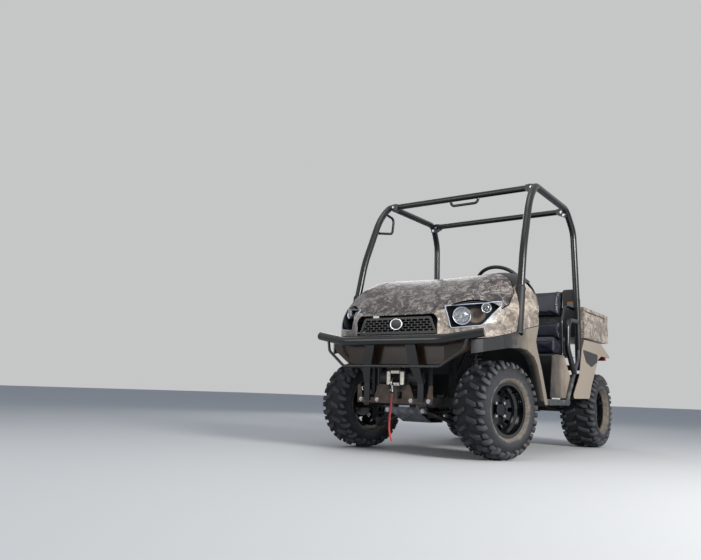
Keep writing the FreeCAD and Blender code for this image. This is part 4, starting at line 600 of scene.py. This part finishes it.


# Hood and front fenders: polyolefin with a printed film of bark, twigs and dry leaves under a clear coat.
# The print comes in two copies: the hood's, a darker cool grey-brown, holds painted shade, and the sides',
# a pale straw, holds painted sunlight.
def printed_film(name, ground, twig, leaf, share, roughness):
    """A mottled woodland print: streaked bark, dark twigs along bent cell edges and pale leaf shapes."""
    material = new_material(
        name, ground[1][1], roughness, grain=(0.0014, 0.0002, 0.2), Coat_Weight=0.3, Coat_Roughness=0.22,
    )
    tree, surface, place = shader_of(material)
    drawn = add_node(
        tree, "Mapping", {"Vector": place, "Rotation": (0.2, 0.3, 0.5), "Scale": (1.0, 0.5, 1.0)},
    )
    bend = add_node(tree, "TexNoise", {"Vector": place, "Scale": 1 / 0.1111, "Detail": 3.0})
    bent = add_node(tree, "Mix", {"Factor": 0.16, "A": drawn, "B": bend.outputs["Color"]}, data_type="VECTOR")
    bark = add_node(tree, "TexNoise", {
        "Vector": drawn, "Scale": 1 / 0.05263, "Detail": 8.0, "Roughness": 0.78,
    })
    colour = add_node(tree, "ValToRGB", {"Fac": bark}, stops=ground).outputs["Color"]
    # Each layer: a cell's size, the shares of it at which the ink ends and is full, ink, what is measured.
    for size, end, full, code, feature in (
        (0.04167, 0.205, 0.165, leaf, "DISTANCE_TO_EDGE"), (0.050, 0.345, 0.285, leaf, "F1"),
        (0.1667, 0.195, 0.165, twig, "DISTANCE_TO_EDGE"), (0.1111, 0.180, 0.150, twig, "DISTANCE_TO_EDGE"),
    ):
        cells = add_node(tree, "TexVoronoi", {
            "Vector": bent.outputs["Result"], "Scale": 1 / size, "Randomness": 1.0,
        }, feature=feature)
        broken = add_node(tree, "Math", {0: bend, 1: 0.25, 2: cells}, operation="MULTIPLY_ADD")
        inked = add_node(tree, "MapRange", {
            "Value": broken, "From Min": end, "From Max": full, "To Max": share,
        })
        laid = add_node(tree, "Mix", {"Factor": inked, "A": colour, "B": hex_colour(code)}, data_type="RGBA")
        colour = laid.outputs["Result"]
    tree.links.new(colour, surface.inputs["Base Color"])
    return material


# The hood's copy of the print, darker: painted shade.
shaded_hood_film = printed_film(
    "printed_film_on_hood_in_painted_shade", [(0.40, "1a1516"), (0.47, "3a3233"), (0.53, "605756"), (0.60, "8b827c")],
    "151112", "a1978f", 0.7, 0.46,
)
finish(shaded_hood_film, "hood")
# The copy for the fenders, bed and tailgate, pale straw and low in contrast: painted sunlight.
sunlit_side_film = printed_film(
    "printed_film_in_painted_sunlight", [(0.38, "5b524a"), (0.47, "84786c"), (0.54, "a69888"), (0.62, "c0b2a2")],
    "574d44", "cabdae", 0.5, 0.44,
)
finish(sunlit_side_film, "front_fenders", "bed", "tailgate")


# Rear fenders and the panels beside the seat box: plain black polyolefin, drawn tan, partly under a fine dust
# and partly as painted sunlight, with a bare black recess pressed into each fender above its wheel.
# Fine dust and painted sunlight: the dust takes the shine off, and both turn the black tan towards the rear;
# the darker front is painted shade on the panels under the seat.
tan_dust_and_sunlight = new_material("plain_polyolefin_dust_and_painted_light", "8b7f71", 0.5, grain=(0.0016, 0.0003, 0.3))
tree, surface, place = shader_of(tan_dust_and_sunlight)
along = add_node(tree, "SeparateXYZ", {"Vector": place})
patches = add_node(tree, "TexNoise", {"Vector": place, "Scale": 1 / 0.08, "Detail": 6.0})
dust_and_light_share = add_node(tree, "Math", {0: patches, 1: 0.30, 2: along.outputs["Y"]}, operation="MULTIPLY_ADD")
share = add_node(tree, "MapRange", {"Value": dust_and_light_share, "From Min": 0.02, "From Max": 0.42})
add_node(tree, "ValToRGB", {"Fac": share}, stops=[
    (0.0, "1b1a1a"), (0.4, "5a5147"), (0.75, "8d8072"), (1.0, "a09283"),
], into=surface.inputs["Base Color"])
finish(tan_dust_and_sunlight, "rear_fenders", "seat_side_panels")


def skin_of(*names):
    """A search tree over the named solids, in the vehicle's own frame."""
    whole = bmesh.new()
    for name in names:
        whole.from_mesh(cad[name].data)
    tree = BVHTree.FromBMesh(whole)
    whole.free()
    return tree


def mirrored(mesh):
    """The mesh together with its mirror image across the vehicle's middle."""
    other = mesh.copy()
    other.transform(Matrix.Scale(-1, 4, (1, 0, 0)))
    bmesh.ops.reverse_faces(other, faces=other.faces)
    return joined([mesh, other])


RECESS = [
    # y from the middle of the wheelbase, z, corner radius
    (0.415, 0.762, 0.012), (0.822, 0.746, 0.020), (0.800, 0.684, 0.030), (0.640, 0.636, 0.080),
    (0.500, 0.668, 0.050),
]
rear_skin = skin_of("rear_fenders")
panel = bmesh.new()
spread = rounded_line(RECESS, 6, ring=True)
faces = [rear_skin.ray_cast(Vector((1.0, MID + y, z)), Vector((-1, 0, 0)))[0] for y, z in spread]
plane = max(hit.x for hit in faces if hit)
panel.faces.new([panel.verts.new((plane - 0.0005, MID + y, z)) for y, z in spread])
raised = bmesh.ops.extrude_face_region(panel, geom=panel.faces[:])
tops = [v for v in raised["geom"] if isinstance(v, bmesh.types.BMVert)]
bmesh.ops.translate(panel, verts=tops, vec=(0.0025, 0, 0))
rim_edges = [e for e in panel.edges if e.verts[0] in tops and e.verts[1] in tops]
bmesh.ops.bevel(panel, geom=rim_edges, offset=0.0012, segments=2, profile=0.5, affect="EDGES", material=-1)
bmesh.ops.recalc_face_normals(panel, faces=panel.faces)
fitted(new_object("fender_recess_panels", mirrored(panel), black_plastic, 20.0), "chassis")


# Lower bodywork: black mouldings over the wheels and the glossy bumper fascia. They are dark towards the
# nose and warm grey towards the cab and along their outer edges, partly dry dust and partly painted sunlight;
# the fascia at the nose carries a painted warm brown reflection.
# Smooth moulding: glossy, with a painted brown reflection at the nose; duller and greyer towards the cab,
# where dust and painted sunlight lie.
dust_and_sunlight_plastic = new_material("black_polypropylene_dust_and_painted_light", "2c2e35", 0.42, grain=(0.0016, 0.0003, 0.3))
tree, surface, place = shader_of(dust_and_sunlight_plastic)
along = add_node(tree, "SeparateXYZ", {"Vector": place})
patches = add_node(tree, "TexNoise", {"Vector": place, "Scale": 1 / 0.06, "Detail": 6.0})
# Dust and painted sunlight build up towards the cab.
dust_and_light_along = add_node(tree, "Math", {0: patches, 1: 0.30, 2: along.outputs["Y"]}, operation="MULTIPLY_ADD")
laid = add_node(tree, "MapRange", {"Value": dust_and_light_along, "From Min": -0.98, "From Max": -0.50})
# The outer edges, which face the sun, get painted sunlight in warm grey.
outward = add_node(tree, "Math", {0: along.outputs["X"]}, operation="ABSOLUTE")
edge = add_node(tree, "MapRange", {"Value": outward, "From Min": 0.60, "From Max": 0.645})
dust_and_sunlit_edge = add_node(tree, "Math", {0: laid, 1: edge}, operation="MULTIPLY")
body = add_node(tree, "ValToRGB", {"Fac": dust_and_sunlit_edge}, stops=[
    (0.0, "15161a"), (0.4, "2b2b2d"), (0.85, "6f665a"), (1.0, "83786b"),
])
# At the nose the glossy fascia carries a painted warm brown reflection.
front = add_node(tree, "MapRange", {"Value": along.outputs["Y"], "From Min": -1.185, "From Max": -1.200})
nose_reflection_mix = add_node(tree, "Mix", {"Factor": front, "A": body, "B": hex_colour("2c2119")}, data_type="RGBA")
tree.links.new(nose_reflection_mix.outputs["Result"], surface.inputs["Base Color"])
add_node(tree, "MapRange", {
    "Value": along.outputs["Y"], "From Min": -1.195, "From Max": -1.15, "To Min": 0.2, "To Max": 0.46,
}, into=surface.inputs["Roughness"])
finish(dust_and_sunlight_plastic, "lower_bodywork")


# Steering wheel, column and controls: soft black rubber with a fine grain, moulded over steel. The column
# is painted like the frame.
# Grained rubber: no clear highlight, only a soft grey bloom.
grip_rubber = new_material("grained_black_grip_rubber", "17171a", 0.55, grain=(0.0015, 0.0003, 0.4))
finish(grip_rubber, "steering_wheel", "controls")
finish(frame_paint, "steering_column")


# Headlamps: a black tray in each corner of the nose holds a large and a small lamp. Each has a clear domed
# lens in a bright ring, over a metallised bowl with its bulb; a pale line runs round the tray's opening, and
# the shoulder between the lamps carries a painted patch of sunlight in the tan of the sunlit fenders.
LAMP_TURN = math.radians(33.0)
LAMP_PLACE = Matrix.Translation((0.440, MID - 1.120, 0.868)) @ Matrix.Rotation(LAMP_TURN, 4, "Z")
LAMP_SIZES = [(-0.062, -0.008, 0.052), (0.088, 0.044, 0.027)]
LAMP_OUTLINE = [
    (-0.170, 0.046, 0.008), (-0.136, -0.0925, 0.014), (0.051, -0.0705, 0.040), (0.179, 0.059, 0.016),
    (0.190, 0.089, 0.008), (-0.009, 0.0845, 0.060),
]
TRIM_RADIUS = 0.0036
TRIM_STEP = 0.008

# Satin moulding: dark enough to frame the lamps, with a tan patch of painted sunlight on the shoulder
# between them.
tray_plastic = new_material("satin_black_lamp_tray", "131417", 0.35, grain=(0.002, 0.0002, 0.3))
tree, surface, place = shader_of(tray_plastic)
spot = add_node(tree, "SeparateXYZ", {"Vector": place})
outward = add_node(tree, "Math", {0: spot.outputs["X"]}, operation="ABSOLUTE")
folded = add_node(tree, "CombineXYZ", {"X": outward, "Y": spot.outputs["Y"], "Z": spot.outputs["Z"]})
shoulder = add_node(tree, "Mapping", {
    "Vector": folded, "Location": LAMP_PLACE @ Vector((0.035, 0, 0.004)),
    "Rotation": (0, 0, LAMP_TURN), "Scale": (0.064, 1.0, 0.052),
}, vector_type="TEXTURE")
# A painted patch of sunlight, tan, on the shoulder between the lamps.
painted_sunlight_patch = add_node(tree, "TexGradient", {"Vector": shoulder}, gradient_type="SPHERICAL")
tan = add_node(tree, "MapRange", {"Value": painted_sunlight_patch.outputs["Fac"], "From Min": 0.02, "From Max": 0.22})
add_node(tree, "ValToRGB", {"Fac": tan}, stops=[
    (0.0, "131417"), (1.0, "8b7b6a"),
], into=surface.inputs["Base Color"])
finish(tray_plastic, "headlamp_housings")

# Clear polycarbonate: a hard highlight on the dome, and the bowl seen through it.
clear_lens = new_material(
    "clear_polycarbonate_lens", "f2f6fb", 0.03, grain=(0.02, 0.0002, 0.1), Transmission_Weight=0.95,
    IOR=1.45,
)
# Vapour-plated plastic: a mirror, broken into glints by facets 6 mm across.
bright_bowl = new_material(
    "metallised_reflector", "eef1f5", 0.28, grain=(0.006, 0.0012, 0.5), Metallic=0.85,
)
# Frosted glass: a soft warm white.
frosted_glass = new_material(
    "frosted_bulb_glass", "f3efe2", 0.3, mottle=(0.01, 4.0, [(0.3, "e9e2cf"), (0.7, "fbf8f0")]),
)
lenses, bowls, bulbs, rings = [], [], [], []
for x, z, r in LAMP_SIZES:
    seat = LAMP_PLACE @ Matrix.Translation((x, 0, z)) @ Matrix.Rotation(math.radians(90), 4, "X")
    dome, back = r * 1.6, -0.002 - r * 1.25
    spread = [math.asin(0.985 / 1.6) * i / 9 for i in range(10)]
    outer = [(back + dome * math.cos(a), dome * math.sin(a)) for a in spread]
    inner = [(back + (dome - 0.002) * math.cos(a), (dome - 0.002) * math.sin(a)) for a in spread]
    bowl = [(-0.058, 0.010), (-0.050, 0.52 * r), (-0.034, 0.80 * r), (-0.012, 0.93 * r), (-0.004, 0.95 * r)]
    cover = [(along - 0.0015, radius + 0.0012) for along, radius in bowl]
    ring = [
        (-0.010, r - 0.001), (0.001, r - 0.0025), (0.005, r), (0.006, r + 0.0025), (0.003, r + 0.005),
        (-0.010, r + 0.005),
    ]
    bulb = [(-0.056, 0.0), (-0.056, 0.18 * r), (-0.034, 0.18 * r), (-0.028, 0.12 * r), (-0.026, 0.0)]
    for group, line, closed in (
        (lenses, outer + inner[::-1], False), (bowls, bowl + cover[::-1], True), (rings, ring, True),
        (bulbs, bulb, False),
    ):
        shape = lathed(line, 56, axis=(0, 0, 1), closed=closed)
        shape.transform(seat)
        group.append(shape)
nose_skin = skin_of("hood", "front_fenders")
aim = LAMP_PLACE.to_3x3() @ Vector((0, 1, 0))
line = []
for x, z in rounded_line(LAMP_OUTLINE, 5, ring=True):
    hit = nose_skin.ray_cast(LAMP_PLACE @ Vector((x, -0.40, z)), aim)
    if hit[0]:
        line.append(hit[0] - aim * 0.001)
edge = []
for i, point in enumerate(line):
    ahead = line[(i + 1) % len(line)]
    steps = max(1, int((ahead - point).length / TRIM_STEP))
    for step in range(steps):
        guess = point.lerp(ahead, step / steps)
        hit = nose_skin.ray_cast(guess - aim * 0.15, aim, 0.30)
        edge.append((hit[0] if hit[0] else guess) - aim * 0.001)
for name, group, material in (
    ("headlamp_lenses", lenses, clear_lens), ("headlamp_reflectors", bowls, bright_bowl),
    ("headlamp_rings", rings, bright_bowl), ("headlamp_bulbs", bulbs, frosted_glass),
):
    piece = new_object(name, mirrored(joined(group)), material)
    fitted(piece, "chassis", "headlamps" if group is lenses else None)
# Satin pale paint: a thin bright line round the dark tray.
pale_trim = new_material(
    "pale_grey_edge_trim", "a6b0c0", 0.3, mottle=(0.03, 4.0, [(0.3, "98a3b6"), (0.7, "bcc5d2")]),
)
fitted(
    new_object("headlamp_opening_trim", mirrored(bar_along(edge, TRIM_RADIUS, closed=True)), pale_trim),
    "chassis",
)


# Grille: one gloss black moulding, clipped into the nose, with a bright oval ring pressed on round its
# blank boss.
# Gloss moulding: near black, with broad highlights on its bars.
gloss_plastic = new_material(
    "gloss_black_abs", "08090b", 0.36, grain=(0.01, 0.0002, 0.15), Coat_Weight=0.2, Coat_Roughness=0.2,
)
finish(gloss_plastic, "grille")
boss_seat = Matrix.Translation((0, MID - 1.288, 0.8055)) @ Matrix.Rotation(math.radians(90), 4, "X")
boss_seat = boss_seat @ Matrix.Diagonal((1.32, 1.06, 1.0, 1.0))
boss_ring = lathed([
    (-0.003, 0.0280), (0.002, 0.0280), (0.0045, 0.030), (0.0045, 0.0325), (0.002, 0.0345), (-0.003, 0.0345),
], 56, axis=(0, 0, 1))
boss_ring.transform(boss_seat)
fitted(new_object("blank_boss_ring", boss_ring, bright_bowl), "chassis")
boss_disc = lathed(
    [(-0.003, 0.0), (-0.003, 0.0285), (0.0015, 0.0285), (0.0028, 0.018), (0.0032, 0.0)], 56, axis=(0, 0, 1),
    closed=False,
)
boss_disc.transform(boss_seat)
fitted(new_object("blank_boss_disc", boss_disc, gloss_plastic), "chassis")


# Brush guard, winch and its plate: bent steel tube under gloss black powder coat, a brown-black plate held
# by four plated bolts, cream nylon rollers round the rope's slot and a plated hook.
# Powder coat: deep black, with the faint ripple of orange peel, 3.5 mm across.
powder_coat = new_material(
    "gloss_black_powder_coat", "07080c", 0.3, grain=(0.0035, 0.0002, 0.12), Coat_Weight=0.3,
    Coat_Roughness=0.2,
)
finish(powder_coat, "brush_guard", "cage_hoops", "cage_cross_bars", "hip_guards")

# Thin paint over rolled steel: matt brown-black, clouded by soil.
plate_paint = new_material(
    "brown_black_plate_paint", "3d332b", 0.42,
    mottle=(0.05, 6.0, [(0.3, "251a13"), (0.52, "3d2d21"), (0.72, "5a4735")]), grain=(0.003, 0.0003, 0.3),
)
finish(plate_paint, "winch_mount")
finish(cast_iron, "winch")
PLATE_FACE = MID - 1.299
bolt_places = [(side * x, PLATE_FACE, 0.335) for side in (-1, 1) for x in (0.122, 0.244)]
bolt_heads("winch_plate_bolts", bolt_places, (0, -1, 0), 0.0095, zinc_plate)

# Cast nylon: waxy and cream, a little darker where the rope has rubbed it.
roller_nylon = new_material(
    "cream_nylon_roller", "d8cdb6", 0.38,
    mottle=(0.01, 5.0, [(0.3, "c9bea8"), (0.55, "e6dfd0"), (0.75, "f0eadd")]),
)
WINCH_X = 0.020
rollers = []
for across, z, length, radius, upright in (
    (-0.048, 0.469, 0.084, 0.0120, True), (0.048, 0.469, 0.084, 0.0120, True),
    (0.0, 0.432, 0.066, 0.0092, False), (0.0, 0.506, 0.066, 0.0092, False),
):
    half = length / 2
    sleeve = lathed([
        (-half, 0.0), (-half, radius * 0.9), (-half * 0.9, radius + 0.0003), (half * 0.9, radius + 0.0003),
        (half, radius * 0.9), (half, 0.0),
    ], 28, axis=(0, 0, 1), closed=False)
    lying = Matrix.Identity(4) if upright else Matrix.Rotation(math.radians(90), 4, "Y")
    sleeve.transform(Matrix.Translation((WINCH_X + across, MID - (1.3155 if upright else 1.3135), z)) @ lying)
    rollers.append(sleeve)
fitted(new_object("fairlead_rollers", joined(rollers), roller_nylon), "chassis")

HOOK_X = 0.019
HOOK_Y = MID - 1.352
claw = bar_along([
    (HOOK_X, HOOK_Y + dy, z) for dy, z in (
        (0.001, 0.428), (0.004, 0.418), (0.005, 0.408), (0.009, 0.400), (0.011, 0.393),
        (0.008, 0.387), (0.001, 0.384), (-0.006, 0.384), (-0.012, 0.389), (-0.014, 0.397),
    )
], 0.0056)
loop = bar_along([
    (
        HOOK_X, HOOK_Y + 0.0105 * math.cos(math.tau * i / 24), 0.436 + 0.0105 * math.sin(math.tau * i / 24),
    ) for i in range(24)
], 0.0048, closed=True)
bolt = lathed([(-0.011, 0.0), (-0.011, 0.005), (0.011, 0.005), (0.011, 0.0)], 6, closed=False)
bolt.transform(Matrix.Translation((HOOK_X, HOOK_Y, 0.436)))
fitted(new_object("winch_hook", joined([claw, loop, bolt]), zinc_plate), "chassis")


# Pull strap: a doubled strip of red nylon webbing, looped through the winch hook and hanging free. It is
# darker red at the top and more orange towards the bottom.
STRAP_ROUTE = [
    (0.0190, -1.2940, 0.3757), (0.0180, -1.2970, 0.3320), (0.0150, -1.2930, 0.2850),
    (0.0090, -1.2960, 0.2380), (0.0050, -1.2920, 0.1880), (0.0080, -1.2950, 0.1380),
    (0.0270, -1.2940, 0.0900),
]
STRAP_DIAMETER = 0.012

# Woven nylon: dull, with a soft edge light and ribs across it every 4 mm.
webbing = new_material("red_nylon_webbing", "a01418", 0.72, Sheen_Weight=0.4)
tree, surface, place = shader_of(webbing)
height = add_node(tree, "SeparateXYZ", {"Vector": place})
# Darker red at the top, more orange towards the bottom.
lower_share = add_node(tree, "MapRange", {"Value": height.outputs["Z"], "From Min": 0.36, "From Max": 0.10})
weave = add_node(tree, "TexWave", {
    "Vector": place, "Scale": WAVE_LENGTH / 0.00419, "Distortion": 1.0,
}, bands_direction="Z")
weave_and_height = add_node(tree, "Math", {0: weave.outputs["Fac"], 1: 0.25, 2: lower_share}, operation="MULTIPLY_ADD")
add_node(tree, "ValToRGB", {"Fac": weave_and_height}, stops=[
    (0.0, "5d0d14"), (0.35, "8a161c"), (0.75, "a82a20"), (1.0, "b83c26"),
], into=surface.inputs["Base Color"])
add_node(tree, "Bump", {
    "Height": weave.outputs["Fac"], "Distance": 0.0006, "Strength": 0.6,
}, into=surface.inputs["Normal"])
strap_curve = bpy.data.curves.new("pull_strap_webbing", "CURVE")
strap_curve.dimensions = "3D"
strap_curve.bevel_depth = STRAP_DIAMETER / 2
strap_curve.bevel_resolution = 4
strap_curve.use_fill_caps = True
strap_spline = strap_curve.splines.new("NURBS")
strap_spline.points.add(len(STRAP_ROUTE) - 1)
for point, place in zip(strap_spline.points, STRAP_ROUTE):
    point.co = (*place, 1.0)
strap_spline.order_u = 3
strap_spline.use_endpoint_u = True
strap_spline.resolution_u = 16
strap = bpy.data.objects.new("pull_strap_webbing", strap_curve)
bpy.context.scene.collection.objects.link(strap)
strap_curve.materials.append(webbing)
fitted(strap, "chassis", "pull_strap")


# Roll cage: bent tube, powder coated. Its cross bars are bolted to the hoops through flanges, and a rubber
# boot seals each front post where it passes through the fender.
flange_bolts = [
    (side * x, MID + y, z) for side in (-1, 1) for x, y, z in (
        (0.570, -0.448, 1.846), (0.590, -0.448, 1.852), (0.556, 0.240, 1.828), (0.576, 0.240, 1.802),
    )
]
bolt_heads("cage_flange_bolts", flange_bolts, (0, -1, 0), 0.0075, zinc_plate)
post_top = Vector((0.624, MID - 0.742, 1.340))
post_foot = Vector((0.640, MID - 0.883, 0.763))
BOOT_LENGTH = 0.325
boot = lathed([
    (0.0, 0.0262), (0.0, 0.034), (0.010, 0.0345), (0.016, 0.0315), (BOOT_LENGTH - 0.030, 0.0305),
    (BOOT_LENGTH - 0.022, 0.0325), (BOOT_LENGTH - 0.010, 0.0315), (BOOT_LENGTH, 0.0262),
], 40, axis=(0, 0, 1))
post_turn = (post_top - post_foot).to_track_quat("Z", "Y").to_matrix().to_4x4()
boot.transform(Matrix.Translation(post_foot.lerp(post_top, 0.006)) @ post_turn)
fitted(new_object("post_boots", mirrored(boot), grip_rubber), "chassis")


# Seats: foam cushions and backs in navy-black grained vinyl, drawn tight over the foam, with a welt sewn
# round each cover's front edge. They sit on the seat box and on the sheets behind it.
# Coated cloth: a leather grain of 2.2 mm and a soft highlight along each rounded edge.
vinyl = new_material(
    "navy_black_grained_vinyl", "1b1f2a", 0.4,
    mottle=(0.12, 4.0, [(0.3, "171a23"), (0.6, "222734"), (0.8, "30343e")]), grain=(0.0022, 0.0004, 0.4),
    Coat_Weight=0.15, Coat_Roughness=0.3,
)


SKIN_VOXEL = 0.006
CLOTH_FRAMES = 20
CLOTH_PRESSURE = 4.0


def stuffed(node, low, high, draw_in, cap):
    """The left cover among a node's solids between two heights: drawn in a little, then blown up as cloth."""
    form = bmesh.new()
    form.from_mesh(cad[node].data)
    spare = [v for v in form.verts if v.co.x < 0 or not low < v.co.z < high]
    bmesh.ops.delete(form, geom=spare, context="VERTS")
    middle = sum((v.co for v in form.verts), Vector()) / len(form.verts)
    span = [max(abs(v.co[i] - middle[i]) for v in form.verts) for i in range(3)]
    shrink = Matrix.Diagonal([1 - draw_in / s for s in span] + [1.0])
    bmesh.ops.transform(form, matrix=shrink, verts=form.verts, space=Matrix.Translation(-middle))
    cover = new_object("cover", form, vinyl, 0)
    skin = cover.modifiers.new("skin", "REMESH")
    skin.mode = "VOXEL"
    skin.voxel_size = SKIN_VOXEL
    start = bpy.data.meshes.new_from_object(cover.evaluated_get(bpy.context.evaluated_depsgraph_get()))
    cover.modifiers.clear()
    cover.data = start
    stuffing = cover.modifiers.new("stuffing", "CLOTH")
    stuffing.settings.use_pressure = True
    stuffing.settings.uniform_pressure_force = CLOTH_PRESSURE
    stuffing.settings.effector_weights.gravity = 0.0
    for moment in range(1, CLOTH_FRAMES + 1):
        bpy.context.scene.frame_set(moment)
    blown = bpy.data.meshes.new_from_object(cover.evaluated_get(bpy.context.evaluated_depsgraph_get()))
    cover.modifiers.clear()
    bpy.context.scene.frame_set(1)
    for vert, target in zip(start.vertices, blown.vertices):
        push = target.co - vert.co
        vert.co += push * min(1.0, cap / max(push.length, 1e-9))
    swollen = bmesh.new()
    swollen.from_mesh(start)
    bpy.data.objects.remove(cover)
    return swollen


WELT_RADIUS = 0.0032
WELT_INSET = 0.012
WELT_STEP = 0.012
PADS = [
    # name, solid, low and high z, draw-in, most swelling
    ("seat_cushion", "seat_cushions", 0.60, 1.00, 0.006, 0.012),
    ("lower_seat_back", "seat_backs", 0.80, 1.005, 0.005, 0.010),
    ("upper_seat_back", "seat_backs", 1.005, 1.40, 0.006, 0.012),
]
for name, node, low, high, draw_in, cap in PADS:
    left = stuffed(node, low, high, draw_in, cap)
    box_low = [min(v.co[i] for v in left.verts) for i in range(3)]
    box_high = [max(v.co[i] for v in left.verts) for i in range(3)]
    surface_tree = BVHTree.FromBMesh(left)
    x0, x1 = box_low[0] + WELT_INSET, box_high[0] - WELT_INSET
    if node == "seat_cushions":
        y0, y1 = box_low[1] + WELT_INSET, box_high[1] - WELT_INSET
        corners = [(x0, y0, 0.05), (x0, y1, 0.05), (x1, y1, 0.05), (x1, y0, 0.05)]
        course = [Vector((x, y, box_high[2])) for x, y in rounded_line(corners, 6, ring=True)]
        inward = Vector((0, 0, -1))
    else:
        z0, z1 = box_low[2] + WELT_INSET, box_high[2] - WELT_INSET
        corners = [(x0, z0, 0.04), (x0, z1, 0.04), (x1, z1, 0.04), (x1, z0, 0.04)]
        course = [Vector((x, box_low[1], z)) for x, z in rounded_line(corners, 6, ring=True)]
        inward = Vector((0, 1, 0))
    welt = []
    for i, point in enumerate(course):
        ahead = course[(i + 1) % len(course)]
        steps = max(1, int((ahead - point).length / WELT_STEP))
        for step in range(steps):
            guess = point.lerp(ahead, step / steps)
            hit = surface_tree.ray_cast(guess - inward * 0.10, inward, 0.35)
            if hit[0]:
                welt.append(hit[0] + hit[1] * 0.0005)
    bead = bar_along(welt, WELT_RADIUS, closed=True, sides=3)
    for side, mark in ((1, "left"), (-1, "right")):
        for part, mesh, smooth in (("cover", left, 0), ("welt", bead, 60.0)):
            copy = mesh.copy()
            if side < 0:
                copy.transform(Matrix.Scale(-1, 4, (1, 0, 0)))
                bmesh.ops.reverse_faces(copy, faces=copy.faces)
            piece = new_object(mark + "_" + name + "_" + part, copy, vinyl, smooth)
            fitted(piece, "chassis", node if part == "cover" else None)
            if part == "cover":
                piece.data.shade_smooth()
                levels = piece.modifiers.new("soft_surface", "SUBSURF")
                levels.levels = 1
                levels.render_levels = 1
    left.free()
    bead.free()


# Label on the left side guard: a blank pale vinyl sticker pressed on the plastic, under a clear film and
# with an orange band across its top.
# Printed vinyl under clear film: flat pale grey below a band of orange.
pale_vinyl = new_material("blank_sticker_vinyl", "9b9da1", 0.35)
tree, surface, place = shader_of(pale_vinyl)
height = add_node(tree, "SeparateXYZ", {"Vector": place})
band = add_node(tree, "MapRange", {"Value": height.outputs["Z"], "From Min": 1.1240, "From Max": 1.1245})
add_node(tree, "ValToRGB", {"Fac": band}, stops=[
    (0.0, "8f9196"), (1.0, "c8782c"),
], into=surface.inputs["Base Color"])
sticker = bmesh.new()
LABEL = [(0.530, 1.084, 0.006), (0.530, 1.142, 0.006), (0.582, 1.142, 0.006), (0.582, 1.084, 0.006)]
LABEL_PLANE = MID + 0.4332
edge = [sticker.verts.new((x, LABEL_PLANE, z)) for x, z in rounded_line(LABEL, 4, ring=True)]
face = sticker.faces.new(edge)
sticker.normal_update()
bmesh.ops.solidify(sticker, geom=[face], thickness=0.0006)
bmesh.ops.recalc_face_normals(sticker, faces=sticker.faces)
fitted(new_object("blank_side_label", sticker, pale_vinyl, 0), "chassis")


# Tail lamps: fluted red acrylic lenses, clipped into the tails of the rear fenders. The flutes are bumped
# into them, and their darker and brighter stripes are painted highlight in the colour.
# Dyed acrylic: deep red, with a painted highlight line on each flute, 3.5 mm apart.
tail_acrylic = new_material("red_acrylic_lens", "8c0d10", 0.12, Coat_Weight=0.6)
tree, surface, place = shader_of(tail_acrylic)
flutes = add_node(tree, "TexWave", {"Vector": place, "Scale": WAVE_LENGTH / 0.00349}, bands_direction="X")
add_node(tree, "Bump", {
    "Height": flutes.outputs["Fac"], "Distance": 0.0008, "Strength": 0.6,
}, into=surface.inputs["Normal"])
# Painted highlight: the colour is brighter along each flute.
add_node(tree, "ValToRGB", {"Fac": flutes.outputs["Fac"]}, stops=[
    (0.0, "6d090c"), (1.0, "a01216"),
], into=surface.inputs["Base Color"])
finish(tail_acrylic, "tail_lamps")


# Floor, sky and lamps: a pale floor under a pale sky, lit by broad soft lamps, the strongest from the
# left. Camera, mirror and glass rays see the sky paler than the light that it gives.
floor_mesh = bmesh.new()
bmesh.ops.create_grid(floor_mesh, x_segments=1, y_segments=1, size=60.0)
# Matt paint: it takes a soft shadow and shows no reflection.
floor_paint = new_material("pale_studio_floor", "cfcfcc", 0.9)
floor = new_object("studio_floor", floor_mesh, floor_paint, 0)

world = bpy.data.worlds.new("studio")
bpy.context.scene.world = world
world.use_nodes = True
sky = world.node_tree.nodes["Background"]
path = add_node(world.node_tree, "LightPath")
mirrors = add_node(world.node_tree, "Math", {
    0: path.outputs["Is Glossy Ray"], 1: path.outputs["Is Transmission Ray"],
}, operation="MAXIMUM")
sharp = add_node(world.node_tree, "Math", {0: path.outputs["Is Camera Ray"], 1: mirrors}, operation="MAXIMUM")
seen = add_node(world.node_tree, "Mix", {
    "Factor": sharp, "A": hex_colour("a9b4c8"), "B": hex_colour("f4f5f5"),
}, data_type="RGBA")
world.node_tree.links.new(seen.outputs["Result"], sky.inputs["Color"])
sky.inputs["Strength"].default_value = 0.62

LAMPS = [
    # name, place, aimed at, size, watts
    ("sun_side_lamp", (5.2, -2.4, 3.0), (0.0, -0.2, 0.8), 2.0, 350.0),
    ("front_fill_lamp", (-2.5, -6.0, 2.6), (0.0, -0.4, 0.7), 3.0, 60.0),
    ("top_lamp", (0.5, -1.5, 5.5), (0.0, 0.0, 0.8), 3.0, 40.0),
    ("rear_rim_lamp", (-4.0, 5.0, 3.5), (0.0, 0.0, 1.0), 3.0, 60.0),
]
for name, place, aim, size, watts in LAMPS:
    lamp = bpy.data.lights.new(name, "AREA")
    lamp.shape = "DISK"
    lamp.size = size
    lamp.energy = watts
    holder = bpy.data.objects.new(name, lamp)
    holder.location = place
    holder.rotation_euler = (Vector(place) - Vector(aim)).to_track_quat("Z", "Y").to_euler()
    bpy.context.scene.collection.objects.link(holder)

bpy.context.scene.view_settings.view_transform = "Standard"
